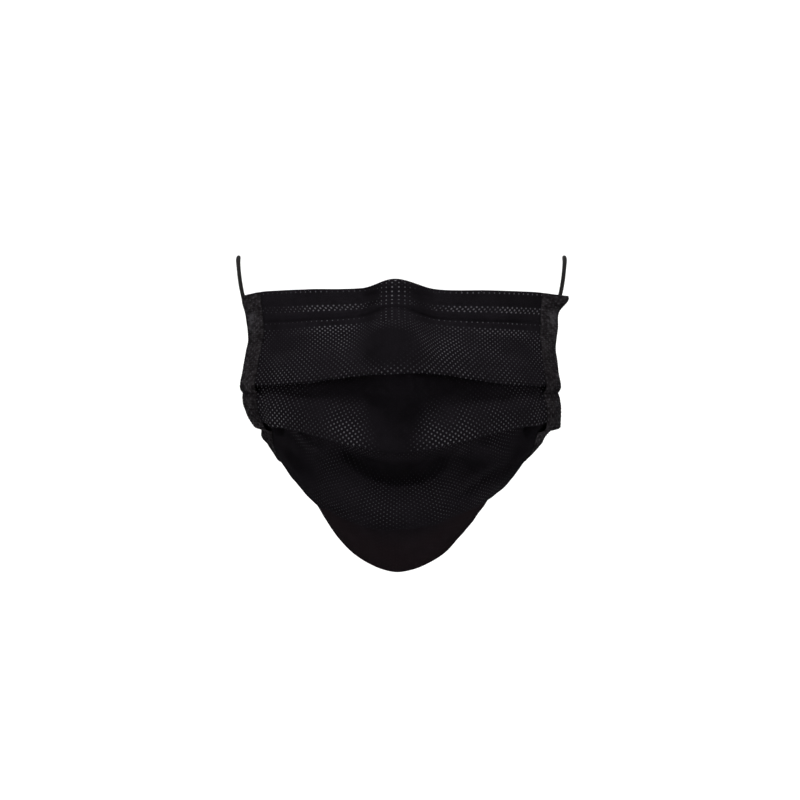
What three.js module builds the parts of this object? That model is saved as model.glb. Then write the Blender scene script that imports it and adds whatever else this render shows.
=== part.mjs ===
// Disposable three-pleat face mask in its worn form, held up at the nose bridge.
// Units are millimetres, +Z is up, the outside of the mask faces -Y and the hollow for the face
// opens to +Y. The origin is the crown of the top edge, where the mask sits on the nose bridge.
//
// The cloth is laid out on a smooth guide surface that follows the face. A place on it has three
// coordinates: across (-1 at the left side edge, 0 at the centre line, 1 at the right side edge),
// down (the row scale of SECTIONS) and out (millimetres off the guide surface, outside positive).

import * as THREE from 'three';
import { mergeVertices } from 'three/addons/utils/BufferGeometryUtils.js';

// Driving sizes, in millimetres.
const CLOTH = 1.0; // wall of the pleated panel
const FOLD_RADIUS = 0.66; // middle of the cloth round each fold
const CLEARANCE = 0.3; // gap between neighbouring pieces
const BAND_GAP = 0.55; // gap inside the binding at its stations, which the flat facets narrow
const BAND_WALL = 0.9; // wall of the side binding
const BAND_FRONT = 9; // width of the binding on the outside
const BAND_BACK = 7.5; // width of the binding on the inside
const WIRE_WIDTH = 3.6;
const WIRE_THICKNESS = 0.9;
const WIRE_DROP = 10.5; // middle of the wire below the top edge
const WIRE_COLUMNS = 20; // columns of the panel that the wire spans
const ELASTIC = 1.8; // diameter of the stretched ear elastic
const BAND_ROUND = 0.4; // rounding of the binding's folded edge, outside
const BAND_ROUND_IN = 0.2; // and inside
const BAND_ROUND_LIP = 0.8; // how much of the folded edge's reach its rounded corners keep
const BAND_STATIONS = 28; // sections of the binding down the side edge
const COLUMNS = 28; // columns of the panel across its width
const NOSE_CROWDING = 1.25; // above 1 draws the columns together towards the nose
const FLAP_START = 0.25; // part of a panel that lies flat before it rises into its flap
const TOP_ROWS = 8; // steps down the panel above the first pleat
const PANEL_ROWS = 6; // steps down every other panel
const ELASTIC_STEPS = 40;
const ELASTIC_SIDES = 8;

// Guide surface: one row for each section down the cloth, with its points from the left side edge
// to the right one at the places that ACROSS lists. The mask hangs a little off centre and its two
// halves differ slightly, as cloth does when it is worn.
const ACROSS = [-1, -0.5, -0.2, 0, 0.2, 0.5, 1];
const SECTIONS = [
  {
    at: 'top edge',
    down: 0,
    points: [
      [-67.2, 51, -3.7], [-38.8, 26, -3.2], [-16.5, 13, -3.1],
      [-2.5, 0.6, 0.4], [13.8, 12.4, -3.6], [38, 26, -3.7], [67.2, 51, -4],
    ],
  },
  {
    at: 'hem seam',
    down: 20,
    points: [
      [-64.2, 43, -25], [-39.5, 19, -22], [-17, 3, -20.6],
      [-2.5, -10.5, -19], [13.5, 3, -21], [38.5, 19, -22.5], [64.4, 43, -25],
    ],
  },
  {
    at: 'nose tip',
    down: 42,
    points: [
      [-66.8, 33.5, -45], [-40.5, 8, -44], [-17, -9, -41.5],
      [-1.5, -17, -39.8], [14.5, -9, -41], [39.5, 8, -44], [65.8, 33.5, -45],
    ],
  },
  {
    at: 'lip',
    down: 56,
    points: [
      [-65.7, 33.5, -51], [-40.5, 8, -53.4], [-18, -8.5, -54],
      [-1.5, -13.5, -54.6], [15.5, -8.5, -54], [39.5, 8, -53.4], [66, 33.5, -51.5],
    ],
  },
  {
    at: 'mouth',
    down: 70,
    points: [
      [-62.2, 35, -57.5], [-40.5, 8, -63.2], [-18.5, -9.5, -69.2],
      [-1.5, -13, -71.7], [16, -9.5, -69.2], [40, 8, -63.2], [65.4, 34.5, -57.8],
    ],
  },
  {
    at: 'chin dip',
    down: 84,
    points: [
      [-57.3, 39, -63], [-39.8, 11.5, -73.5], [-19.5, -5.5, -81.2],
      [-1.5, -8.5, -83.4], [17, -5.5, -81.2], [40.3, 11.5, -73.5], [60.3, 38.5, -64.4],
    ],
  },
  {
    at: 'chin',
    down: 104,
    points: [
      [-53.8, 46, -70], [-36.5, 15.5, -90.7], [-18.5, -4, -100.6],
      [-2, -8.5, -103], [15.5, -4, -100.4], [35.4, 15.5, -90.4], [54.3, 46, -70.3],
    ],
  },
  {
    at: 'bottom edge',
    down: 126,
    points: [
      [-45.9, 65, -80], [-34.3, 32, -98], [-20, 17.5, -115.8],
      [-2, 12, -123.1], [17.8, 17.5, -116], [33.7, 32, -97.5], [46.2, 65, -80.2],
    ],
  },
];

// Pleats: where the free lower edge of each flap lies, how far the cloth laps up under it and how
// far the flap stands off, at the places from the centre line outwards that PLEAT_ACROSS lists.
const PLEAT_ACROSS = [0, 0.2, 0.5, 0.74, 0.825, 1];
const PLEATS = [
  { flap: 'nose', down: 42, lap: [5, 5.5, 6, 6.5, 7, 7], rise: [7.5, 5, 3.6, 2.8, 2.64, 2.64] },
  { flap: 'mouth', down: 70, lap: [4.5, 5, 5.5, 5.5, 5.5, 5.5], rise: [5, 4, 3.4, 4, 2.64, 2.64] },
  { flap: 'chin', down: 104, lap: [4, 4.5, 5, 5.5, 5.5, 5.5], rise: [3.2, 3, 2.8, 2.64, 2.64, 2.64] },
];

// Middle line of the right ear loop, from its weld behind the top of the binding, over and behind
// the ear, to its weld behind the foot of the binding. The left loop mirrors it.
const ELASTIC_ROUTE = [
  [60.9, 45.6, -21.4],
  [62.4, 47.9, -18.6],
  [64.3, 50.6, -15.2],
  [67, 53.8, -10],
  [69.2, 57.4, -4.5],
  [70.6, 62.8, 1.5],
  [71.5, 69.5, 7],
  [72.2, 77, 11.3],
  [72.2, 84.5, 12.8],
  [72.6, 91.5, 10],
  [72.2, 97, 3.5],
  [70.7, 100.5, -5.5],
  [67.9, 101.5, -16.5],
  [65.8, 100.5, -27.5],
  [64.3, 97.5, -38],
  [62.6, 93, -47],
  [60.2, 87.6, -55],
  [57.2, 81.8, -61.6],
  [53.8, 75.9, -66.8],
  [50.4, 70, -71],
  [47.6, 64.5, -73.6],
  [46.2, 58.8, -73.8],
  [46.4, 54.4, -73.3],
  [46.9, 50.4, -72.3],
];

const ROW_SCALE = SECTIONS.map((section) => section.down);
const LAST_DOWN = ROW_SCALE[ROW_SCALE.length - 1];
const STATION_STEP = LAST_DOWN / BAND_STATIONS;

/** Smooth curve through values at rising knots, run on straight past both ends. */
function smooth(knots, values, at) {
  const last = knots.length - 1;
  const slope = (i) => {
    const low = Math.max(i - 1, 0);
    const high = Math.min(i + 1, last);
    return (values[high] - values[low]) / (knots[high] - knots[low]);
  };
  if (at <= knots[0]) return values[0] + slope(0) * (at - knots[0]);
  if (at >= knots[last]) return values[last] + slope(last) * (at - knots[last]);
  let i = 0;
  while (at > knots[i + 1]) i += 1;
  const width = knots[i + 1] - knots[i];
  const f = (at - knots[i]) / width;
  const f2 = f * f;
  const f3 = f2 * f;
  return (
    (2 * f3 - 3 * f2 + 1) * values[i] +
    (f3 - 2 * f2 + f) * width * slope(i) +
    (3 * f2 - 2 * f3) * values[i + 1] +
    (f3 - f2) * width * slope(i + 1)
  );
}

/** 0 before start, 1 after end, and an even S-curve between them. */
function step(start, end, at) {
  const f = Math.min(Math.max((at - start) / (end - start), 0), 1);
  return f * f * (3 - 2 * f);
}

/** Point of the guide surface. */
function guide(across, down) {
  const [x, y, z] = [0, 1, 2].map((axis) => {
    const rows = SECTIONS.map(({ points }) => smooth(ACROSS, points.map((p) => p[axis]), across));
    return smooth(ROW_SCALE, rows, down);
  });
  return new THREE.Vector3(x, y, z);
}

/** Directions of the guide surface: the outward normal and how long one step across and down is. */
function directions(across, down) {
  const stepAcross = 0.004;
  const stepDown = 0.4;
  const acrossWay = guide(across + stepAcross, down).sub(guide(across - stepAcross, down));
  const downWay = guide(across, down + stepDown).sub(guide(across, down - stepDown));
  acrossWay.divideScalar(2 * stepAcross);
  downWay.divideScalar(2 * stepDown);
  return {
    outward: new THREE.Vector3().crossVectors(downWay, acrossWay).normalize(),
    acrossSize: acrossWay.length(),
    downSize: downWay.length(),
  };
}

/** Point that lies `out` millimetres off the guide surface. */
function place(across, down, out) {
  return guide(across, down).addScaledVector(directions(across, down).outward, out);
}

/** Size of a pleat's lap or rise at a place across the panel. */
function pleatSize(sizes, across) {
  const half = Math.min(Math.abs(across), 1);
  let i = 0;
  while (i < PLEAT_ACROSS.length - 2 && half > PLEAT_ACROSS[i + 1]) i += 1;
  const blend = step(PLEAT_ACROSS[i], PLEAT_ACROSS[i + 1], half);
  return sizes[i] + (sizes[i + 1] - sizes[i]) * blend;
}

/** Middle line of the cloth down one column, as [down, out] pairs in millimetres of cloth. */
function columnLine(across) {
  const line = [];
  let start = 0;
  for (const { down, lap, rise } of PLEATS) {
    const size = directions(across, down).downSize;
    const lapDown = pleatSize(lap, across) / size;
    const radiusDown = FOLD_RADIUS / size;
    const height = pleatSize(rise, across);
    const flat = down - lapDown - radiusDown;
    const rising = start + (flat - start) * FLAP_START;
    const parts = start === 0 ? TOP_ROWS : PANEL_ROWS;
    for (let i = 0; i <= parts; i += 1) {
      const at = start + ((flat - start) * i) / parts;
      line.push([at, height * step(rising, flat, at)]);
    }
    line.push([down - radiusDown, height]);
    line.push([down, height - FOLD_RADIUS]);
    line.push([down - radiusDown, height - 2 * FOLD_RADIUS]);
    line.push([down - lapDown + radiusDown, 2 * FOLD_RADIUS]);
    line.push([down - lapDown, FOLD_RADIUS]);
    line.push([down - lapDown + radiusDown, 0]);
    start = down;
  }
  for (let i = 0; i <= PANEL_ROWS; i += 1) {
    line.push([start + ((LAST_DOWN - start) * i) / PANEL_ROWS, 0]);
  }
  return line;
}

/** Outer and inner face of the cloth round a column's middle line, as one closed ring. */
function columnRing(across) {
  const line = columnLine(across);
  const scaled = line.map(([down, out]) => ({ down, out, size: directions(across, down).downSize }));
  const outer = [];
  const inner = [];
  for (let i = 0; i < scaled.length; i += 1) {
    const before = scaled[Math.max(i - 1, 0)];
    const after = scaled[Math.min(i + 1, scaled.length - 1)];
    const here = scaled[i];
    const toHere = new THREE.Vector2((here.down - before.down) * here.size, here.out - before.out);
    const fromHere = new THREE.Vector2((after.down - here.down) * here.size, after.out - here.out);
    const way = toHere.normalize().add(fromHere.normalize()).normalize();
    const half = CLOTH / 2;
    outer.push(place(across, here.down - (way.y * half) / here.size, here.out + way.x * half));
    inner.push(place(across, here.down + (way.y * half) / here.size, here.out - way.x * half));
  }
  return { outer, inner };
}

/** Closed solid through rings of equal length, with its two end faces filled from given pairs. */
function loft(rings, endPairs) {
  const size = rings[0].length;
  const positions = rings.flat().flatMap((p) => [p.x, p.y, p.z]);
  const index = [];
  for (let i = 0; i < rings.length - 1; i += 1) {
    for (let j = 0; j < size; j += 1) {
      const k = (j + 1) % size;
      const [a, b, c, d] = [i * size + j, i * size + k, (i + 1) * size + k, (i + 1) * size + j];
      index.push(a, b, c, a, c, d);
    }
  }
  const lastRing = (rings.length - 1) * size;
  for (const [a, b, c, d] of endPairs) {
    index.push(a, c, b, a, d, c);
    index.push(lastRing + a, lastRing + b, lastRing + c, lastRing + a, lastRing + c, lastRing + d);
  }
  const geometry = new THREE.BufferGeometry();
  geometry.setAttribute('position', new THREE.Float32BufferAttribute(positions, 3));
  geometry.setIndex(index);
  const merged = mergeVertices(geometry, 1e-4);
  faceOutward(merged);
  merged.computeVertexNormals();
  return merged;
}

/** Turns every triangle round when the closed solid's signed volume is negative. */
function faceOutward(geometry) {
  const position = geometry.getAttribute('position');
  const index = geometry.getIndex();
  const [a, b, c] = [new THREE.Vector3(), new THREE.Vector3(), new THREE.Vector3()];
  let volume = 0;
  for (let i = 0; i < index.count; i += 3) {
    a.fromBufferAttribute(position, index.getX(i));
    b.fromBufferAttribute(position, index.getX(i + 1));
    c.fromBufferAttribute(position, index.getX(i + 2));
    volume += a.dot(b.cross(c));
  }
  if (volume > 0) return;
  for (let i = 0; i < index.count; i += 3) {
    const held = index.getX(i + 1);
    index.setX(i + 1, index.getX(i + 2));
    index.setX(i + 2, held);
  }
}

/** The four-cornered pieces between two matching runs of points in one ring of 2 * count points. */
function stripPairs(count) {
  const pairs = [];
  const last = 2 * count - 1;
  for (let i = 0; i < count - 1; i += 1) pairs.push([i, i + 1, last - 1 - i, last - i]);
  return pairs;
}

/** Across value of one of the panel's columns, counted from the centre line. */
function columnAt(count) {
  return Math.sign(count) * Math.abs((2 * count) / COLUMNS) ** NOSE_CROWDING;
}

/** The pleated panel. */
function panelGeometry() {
  const rings = [];
  for (let i = 0; i <= COLUMNS; i += 1) {
    const { outer, inner } = columnRing(columnAt(i - COLUMNS / 2));
    rings.push([...outer, ...inner.reverse()]);
  }
  return loft(rings, stripPairs(rings[0].length / 2));
}

/** The wire behind the top hem. */
function wireGeometry() {
  const middle = -CLOTH / 2 - CLEARANCE - WIRE_THICKNESS / 2;
  const rings = [];
  for (let i = 0; i <= WIRE_COLUMNS; i += 1) {
    const across = columnAt(i - WIRE_COLUMNS / 2);
    const size = directions(across, WIRE_DROP).downSize;
    const [top, low] = [-1, 1].map((way) => (WIRE_DROP + (way * WIRE_WIDTH) / 2) / size);
    const [front, back] = [1, -1].map((way) => middle + (way * WIRE_THICKNESS) / 2);
    const corners = [[top, front], [low, front], [low, back], [top, back]];
    rings.push(corners.map(([down, out]) => place(across, down, out)));
  }
  return loft(rings, stripPairs(2));
}

/** How far the stacked pleats stand out at the side edge, as one even swelling. */
function stackHeight(down) {
  const [first, last] = [PLEATS[0], PLEATS[PLEATS.length - 1]];
  const lapDown = first.lap[first.lap.length - 1] / directions(1, first.down).downSize;
  const full = first.down - lapDown - STATION_STEP;
  const rising = step(0, full, down);
  const falling = 1 - step(last.down + STATION_STEP, LAST_DOWN, down);
  return first.rise[first.rise.length - 1] * rising * falling;
}

/** One binding strip, folded round the side edge given as -1 or 1. */
function bandGeometry(side) {
  const rings = [];
  for (let down = 0; down <= LAST_DOWN; down += STATION_STEP) {
    const { acrossSize } = directions(side, down);
    const at = (inset, out) => place(side * (1 - inset / acrossSize), down, out);
    const frontIn = stackHeight(down) + CLOTH / 2 + BAND_GAP;
    const frontOut = frontIn + BAND_WALL;
    const backIn = -CLOTH / 2 - BAND_GAP;
    const backOut = backIn - BAND_WALL;
    const middle = (frontOut + backOut) / 2;
    const lip = -BAND_GAP - BAND_WALL;
    const corner = lip * BAND_ROUND_LIP;
    rings.push([
      at(BAND_FRONT, frontOut),
      at(BAND_FRONT / 2, frontOut),
      at(0, frontOut),
      at(corner, frontOut - BAND_ROUND),
      at(lip, middle),
      at(corner, backOut + BAND_ROUND),
      at(0, backOut),
      at(BAND_BACK / 2, backOut),
      at(BAND_BACK, backOut),
      at(BAND_BACK, backIn),
      at(BAND_BACK / 2, backIn),
      at(BAND_ROUND_IN, backIn),
      at(-BAND_GAP, backIn + BAND_ROUND_IN),
      at(-BAND_GAP, middle),
      at(-BAND_GAP, frontIn - BAND_ROUND_IN),
      at(BAND_ROUND_IN, frontIn),
      at(BAND_FRONT / 2, frontIn),
      at(BAND_FRONT, frontIn),
    ]);
  }
  return loft(rings, stripPairs(rings[0].length / 2));
}

/** One ear loop, on the side given as -1 or 1. */
function elasticGeometry(side) {
  const knots = ELASTIC_ROUTE.map(([x, y, z]) => new THREE.Vector3(side * x, y, z));
  const route = new THREE.CatmullRomCurve3(knots);
  const corners = [];
  for (let i = 0; i < ELASTIC_SIDES; i += 1) {
    const angle = (2 * Math.PI * i) / ELASTIC_SIDES;
    corners.push(new THREE.Vector2(Math.cos(angle), Math.sin(angle)).multiplyScalar(ELASTIC / 2));
  }
  const settings = { steps: ELASTIC_STEPS, extrudePath: route, bevelEnabled: false };
  return new THREE.ExtrudeGeometry(new THREE.Shape(corners), settings);
}

/** A mesh with its node's name and a plain finish. */
function named(name, geometry, colour, roughness) {
  const material = new THREE.MeshStandardMaterial({ color: colour, roughness, metalness: 0 });
  const mesh = new THREE.Mesh(geometry, material);
  mesh.name = name;
  return mesh;
}

const mask = new THREE.Group();
mask.add(named('mask_body', panelGeometry(), '#1c1a1f', 0.75));
mask.add(named('nose_wire', wireGeometry(), '#2a2a2c', 0.5));
mask.add(named('side_band_left', bandGeometry(-1), '#232127', 0.6));
mask.add(named('side_band_right', bandGeometry(1), '#232127', 0.6));
mask.add(named('ear_loop_left', elasticGeometry(-1), '#1b1b1d', 0.85));
mask.add(named('ear_loop_right', elasticGeometry(1), '#1b1b1d', 0.85));

export default mask;
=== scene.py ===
"""A disposable pleated face mask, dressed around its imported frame.

Everything is in metres in the frame's own axes: +Z is up, the outside of the mask faces -Y, the
hollow for the face opens to +Y, and the origin is the nose bridge that the mask sits on.

The cloth is laid out on a smooth guide surface. A place on it is given by three numbers: across
(-1 at the left side edge, 0 on the centre line, 1 at the right side edge), down (the row scale of
the sections table) and out (metres off the guide surface, outside positive).
"""

from __future__ import annotations

import logging
import math
from dataclasses import dataclass
from enum import Enum

import bmesh
import bpy
import numpy as np
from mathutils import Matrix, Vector, noise

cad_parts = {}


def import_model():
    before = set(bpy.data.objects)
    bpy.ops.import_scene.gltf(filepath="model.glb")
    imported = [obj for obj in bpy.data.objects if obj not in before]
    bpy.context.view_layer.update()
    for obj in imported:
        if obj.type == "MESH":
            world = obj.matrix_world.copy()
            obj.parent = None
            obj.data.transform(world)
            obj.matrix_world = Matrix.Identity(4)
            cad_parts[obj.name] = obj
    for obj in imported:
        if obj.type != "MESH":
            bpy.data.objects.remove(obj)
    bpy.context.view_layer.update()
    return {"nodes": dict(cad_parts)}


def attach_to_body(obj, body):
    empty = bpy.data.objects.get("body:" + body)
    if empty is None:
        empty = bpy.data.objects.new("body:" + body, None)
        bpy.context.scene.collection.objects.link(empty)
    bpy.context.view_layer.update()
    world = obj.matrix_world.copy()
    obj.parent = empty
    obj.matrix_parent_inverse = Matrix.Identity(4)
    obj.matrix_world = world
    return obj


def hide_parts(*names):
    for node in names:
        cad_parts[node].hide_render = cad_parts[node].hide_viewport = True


MM = 0.001
BODY = "root"
CLOTH_MAP = "cloth"
LOG = logging.getLogger("mask")
# The thickness of the mask's cloth, and the pitch of the binding's ribs.
CLOTH_WALL = 0.55 * MM
RIB = 1.2 * MM

Pair = tuple[float, float]
Triple = tuple[float, float, float]


class Side(Enum):
    """The two sides of the mask, as the sign of x."""

    LEFT = -1
    RIGHT = 1


class Panel(Enum):
    """The stretches of cloth between the folds, from the top edge down."""

    NOSE = 1
    MOUTH = 2
    CHIN = 3
    JAW = 4


# -------------------------------------------------------------------------------------------
# Curves
# -------------------------------------------------------------------------------------------


def curve_through(knots: np.ndarray, values: np.ndarray, at: np.ndarray) -> np.ndarray:
    """Smooth curve through values at rising knots, run on straight past both ends.

    Args:
        knots: the rising places of the values, K of them.
        values: K values, or K rows of one value for each place in `at`.
        at: the N places wanted.

    Returns:
        The curve at each place, with the shape of one value.
    """
    count = len(knots)
    low = np.maximum(np.arange(count) - 1, 0)
    high = np.minimum(np.arange(count) + 1, count - 1)
    spread = (knots[high] - knots[low]).reshape((count,) + (1,) * (values.ndim - 1))
    slopes = (values[high] - values[low]) / spread
    index = np.clip(np.searchsorted(knots, at, side="right") - 1, 0, count - 2)
    width = knots[index + 1] - knots[index]
    part = np.clip((at - knots[index]) / width, 0.0, 1.0)
    beyond = at - np.clip(at, knots[0], knots[-1])
    own = (np.arange(len(at)),) if values.ndim == 3 else ()
    before, after = (index, *own), (index + 1, *own)
    extra = (1,) * (values[before].ndim - 1)
    part, width, beyond = (a.reshape((-1,) + extra) for a in (part, width, beyond))
    square, cube = part**2, part**3
    inside = (
        (2 * cube - 3 * square + 1) * values[before]
        + (cube - 2 * square + part) * width * slopes[before]
        + (3 * square - 2 * cube) * values[after]
        + (cube - square) * width * slopes[after]
    )
    return inside + beyond * np.where(beyond < 0, slopes[before], slopes[after])


def lengths(line: np.ndarray) -> np.ndarray:
    """The length along a line of points, 0 at its first point."""
    return np.concatenate([[0.0], np.cumsum(np.linalg.norm(np.diff(line, axis=0), axis=1))])


def ease(
    start: np.ndarray | float, end: np.ndarray | float, at: np.ndarray | float
) -> np.ndarray:
    """0 before start, 1 after end and an even S-curve between them."""
    part = np.clip((at - start) / (np.asarray(end) - start), 0.0, 1.0)
    return part * part * (3 - 2 * part)


def bell(at: np.ndarray, middle: float, width: float) -> np.ndarray:
    """A smooth bump of height 1 round a middle."""
    return np.exp(-(((at - middle) / width) ** 2))


def half_turn(points: int) -> np.ndarray:
    """Angles from straight out to straight in, which carry cloth round a fold."""
    return np.linspace(math.pi / 2, -math.pi / 2, points)


def rough(x: np.ndarray, y: np.ndarray, layer: float) -> np.ndarray:
    """Smooth repeatable noise between about -1 and 1.

    Args:
        x: first coordinates, in noise lengths.
        y: second coordinates, of the same shape.
        layer: third coordinate, which picks one of many different layers.

    Returns:
        The noise, of the same shape.
    """
    pairs = zip(np.ravel(x), np.ravel(y))
    made = np.array([noise.noise(Vector((float(a), float(b), layer))) for a, b in pairs])
    return made.reshape(np.shape(x))


# -------------------------------------------------------------------------------------------
# The surface that the cloth follows
# -------------------------------------------------------------------------------------------


@dataclass(frozen=True)
class Section:
    """One row of the guide surface: its points from the left side edge to the right one.

    The points lie at the places that SECTION_ACROSS lists, in millimetres.
    """

    down: float
    points: tuple[Triple, ...]


SECTION_ACROSS = np.array([-1.0, -0.5, -0.2, 0.0, 0.2, 0.5, 1.0])
SECTIONS = (
    # The top edge.
    Section(0, (
        (-67.2, 51, -3.7), (-38.8, 26, -3.2), (-16.5, 13, -3.1), (-2.5, 0.6, 0.4),
        (13.8, 12.4, -3.6), (38, 26, -3.7), (67.2, 51, -4),
    )),
    # The hem seam.
    Section(20, (
        (-64.2, 43, -25), (-39.5, 19, -22), (-17, 3, -20.6), (-2.5, -10.5, -19),
        (13.5, 3, -21), (38.5, 19, -22.5), (64.4, 43, -25),
    )),
    # The nose tip.
    Section(42, (
        (-66.8, 33.5, -45), (-40.5, 8, -44), (-17, -9, -41.5), (-1.5, -17, -39.8),
        (14.5, -9, -41), (39.5, 8, -44), (65.8, 33.5, -45),
    )),
    # The lip.
    Section(56, (
        (-65.7, 33.5, -51), (-40.5, 8, -53.4), (-18, -8.5, -54), (-1.5, -13.5, -54.6),
        (15.5, -8.5, -54), (39.5, 8, -53.4), (66, 33.5, -51.5),
    )),
    # The mouth.
    Section(70, (
        (-62.2, 35, -57.5), (-40.5, 8, -63.2), (-18.5, -9.5, -69.2), (-1.5, -13, -71.7),
        (16, -9.5, -69.2), (40, 8, -63.2), (65.4, 34.5, -57.8),
    )),
    # The chin dip.
    Section(84, (
        (-57.3, 39, -63), (-39.8, 11.5, -73.5), (-19.5, -5.5, -81.2), (-1.5, -8.5, -83.4),
        (17, -5.5, -81.2), (40.3, 11.5, -73.5), (60.3, 38.5, -64.4),
    )),
    # The chin.
    Section(104, (
        (-53.8, 46, -70), (-36.5, 15.5, -90.7), (-18.5, -4, -100.6), (-2, -8.5, -103),
        (15.5, -4, -100.4), (35.4, 15.5, -90.4), (54.3, 46, -70.3),
    )),
    # The bottom edge.
    Section(126, (
        (-45.9, 65, -80), (-34.3, 32, -98), (-20, 17.5, -115.8), (-2, 12, -123.1),
        (17.8, 17.5, -116), (33.7, 32, -97.5), (46.2, 65, -80.2),
    )),
)
SECTION_DOWN = np.array([section.down for section in SECTIONS], float)
SECTION_POINTS = np.array([section.points for section in SECTIONS], float) * MM


@dataclass(frozen=True)
class Pleat:
    """One pleat: its panel, its free lower edge, its lap and how far the flap stands off.

    The lap and rise are in millimetres at the places that PLEAT_ACROSS lists. The wobble is how
    far the edge strays from its line. The step tells how many rows below the edge the binding
    starts and ends stepping back.
    """

    panel: Panel
    down: float
    lap: tuple[float, ...]
    rise: tuple[float, ...]
    wobble: float
    step: Pair


PLEAT_ACROSS = np.array([0, 0.2, 0.5, 0.74, 0.825, 1.0])
PLEATS = (
    Pleat(
        Panel.NOSE, 42, lap=(5, 5.5, 6, 6.5, 7, 7),
        rise=(7.5, 5, 3.6, 2.8, 2.64, 2.64), wobble=0.35, step=(0.8, 6.0),
    ),
    Pleat(
        Panel.MOUTH, 70, lap=(4.5, 5, 5.5, 5.5, 5.5, 5.5),
        rise=(5, 4, 3.4, 4, 2.64, 2.64), wobble=0.5, step=(3.5, 11.0),
    ),
    Pleat(
        Panel.CHIN, 104, lap=(4, 4.5, 5, 5.5, 5.5, 5.5),
        rise=(3.2, 3, 2.8, 2.64, 2.64, 2.64), wobble=0.9, step=(1.2, 4.8),
    ),
)
# The radius of a fold, the share of a panel that lies flat before its flap rises, and the rows
# between an inner fold and the panel below.
FOLD = 0.66 * MM
FLAP_START = 0.25
FOLD_TO_PANEL = 0.3


def pleat_size(sizes: tuple[float, ...], across: np.ndarray) -> np.ndarray:
    """A pleat's lap or rise at places across the panel.

    Args:
        sizes: millimetres at the places that PLEAT_ACROSS lists.
        across: the places wanted.

    Returns:
        The size at each place, in metres.
    """
    half = np.minimum(np.abs(across), 1.0)
    index = np.clip(np.searchsorted(PLEAT_ACROSS, half, side="right") - 1, 0, len(sizes) - 2)
    values = np.array(sizes)
    blend = ease(PLEAT_ACROSS[index], PLEAT_ACROSS[index + 1], half)
    return (values[index] + (values[index + 1] - values[index]) * blend) * MM


@dataclass(frozen=True)
class Flap:
    """A pleated panel at places across: where it starts, levels off and folds, and its height."""

    pleat: Pleat
    start: np.ndarray
    flat: np.ndarray
    edge: np.ndarray
    height: np.ndarray


@dataclass(frozen=True)
class Crease:
    """A soft ridge or furrow along a line.

    The line's points are millimetres of cloth from the centre line and places down. The width is
    its half width and the height how far it stands out, both in millimetres; a furrow's height is
    negative. The fade is the share of its length in which each end runs out.
    """

    line: tuple[Pair, ...]
    width: float
    height: float
    fade: float = 0.3
    pieces: int = 18

    def lift(self, wide: np.ndarray, down: np.ndarray) -> np.ndarray:
        """Its height at places of the cloth.

        Args:
            wide: millimetres of cloth from the centre line.
            down: places down, of the same shape.

        Returns:
            The heights in millimetres, of the same shape.
        """
        knots = np.arange(len(self.line), dtype=float)
        places = np.linspace(0, knots[-1], self.pieces)
        bent = curve_through(knots, np.array(self.line, float), places)
        nearest = np.full(wide.shape, np.inf)
        along = np.zeros(wide.shape)
        for number, (start, end) in enumerate(zip(bent[:-1], bent[1:])):
            way = end - start
            part = ((wide - start[0]) * way[0] + (down - start[1]) * way[1]) / (way @ way)
            part = np.clip(part, 0.0, 1.0)
            away = np.hypot(wide - start[0] - part * way[0], down - start[1] - part * way[1])
            closer = away < nearest
            nearest = np.where(closer, away, nearest)
            along = np.where(closer, (number + part) / (self.pieces - 1), along)
        taper = ease(0.0, self.fade, along) * (1 - ease(1 - self.fade, 1.0, along))
        return self.height * taper * bell(nearest, 0.0, self.width)


@dataclass(frozen=True)
class Dent:
    """A round hollow or swelling.

    Its middle is millimetres of cloth from the centre line and places down, its reach the half
    width and half length, and its height how far it stands out; a hollow's height is negative.
    """

    wide: float
    down: float
    reach: Pair
    height: float
    flatness: float = 1.3

    def lift(self, wide: np.ndarray, down: np.ndarray) -> np.ndarray:
        """Its height at places of the cloth.

        Args:
            wide: millimetres of cloth from the centre line.
            down: places down, of the same shape.

        Returns:
            The heights in millimetres, of the same shape.
        """
        sideways = ((wide - self.wide) / self.reach[0]) ** 2
        away = sideways + ((down - self.down) / self.reach[1]) ** 2
        return self.height * np.exp(-(away**self.flatness))


Marks = dict[Panel, tuple[Crease | Dent, ...]]

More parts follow.
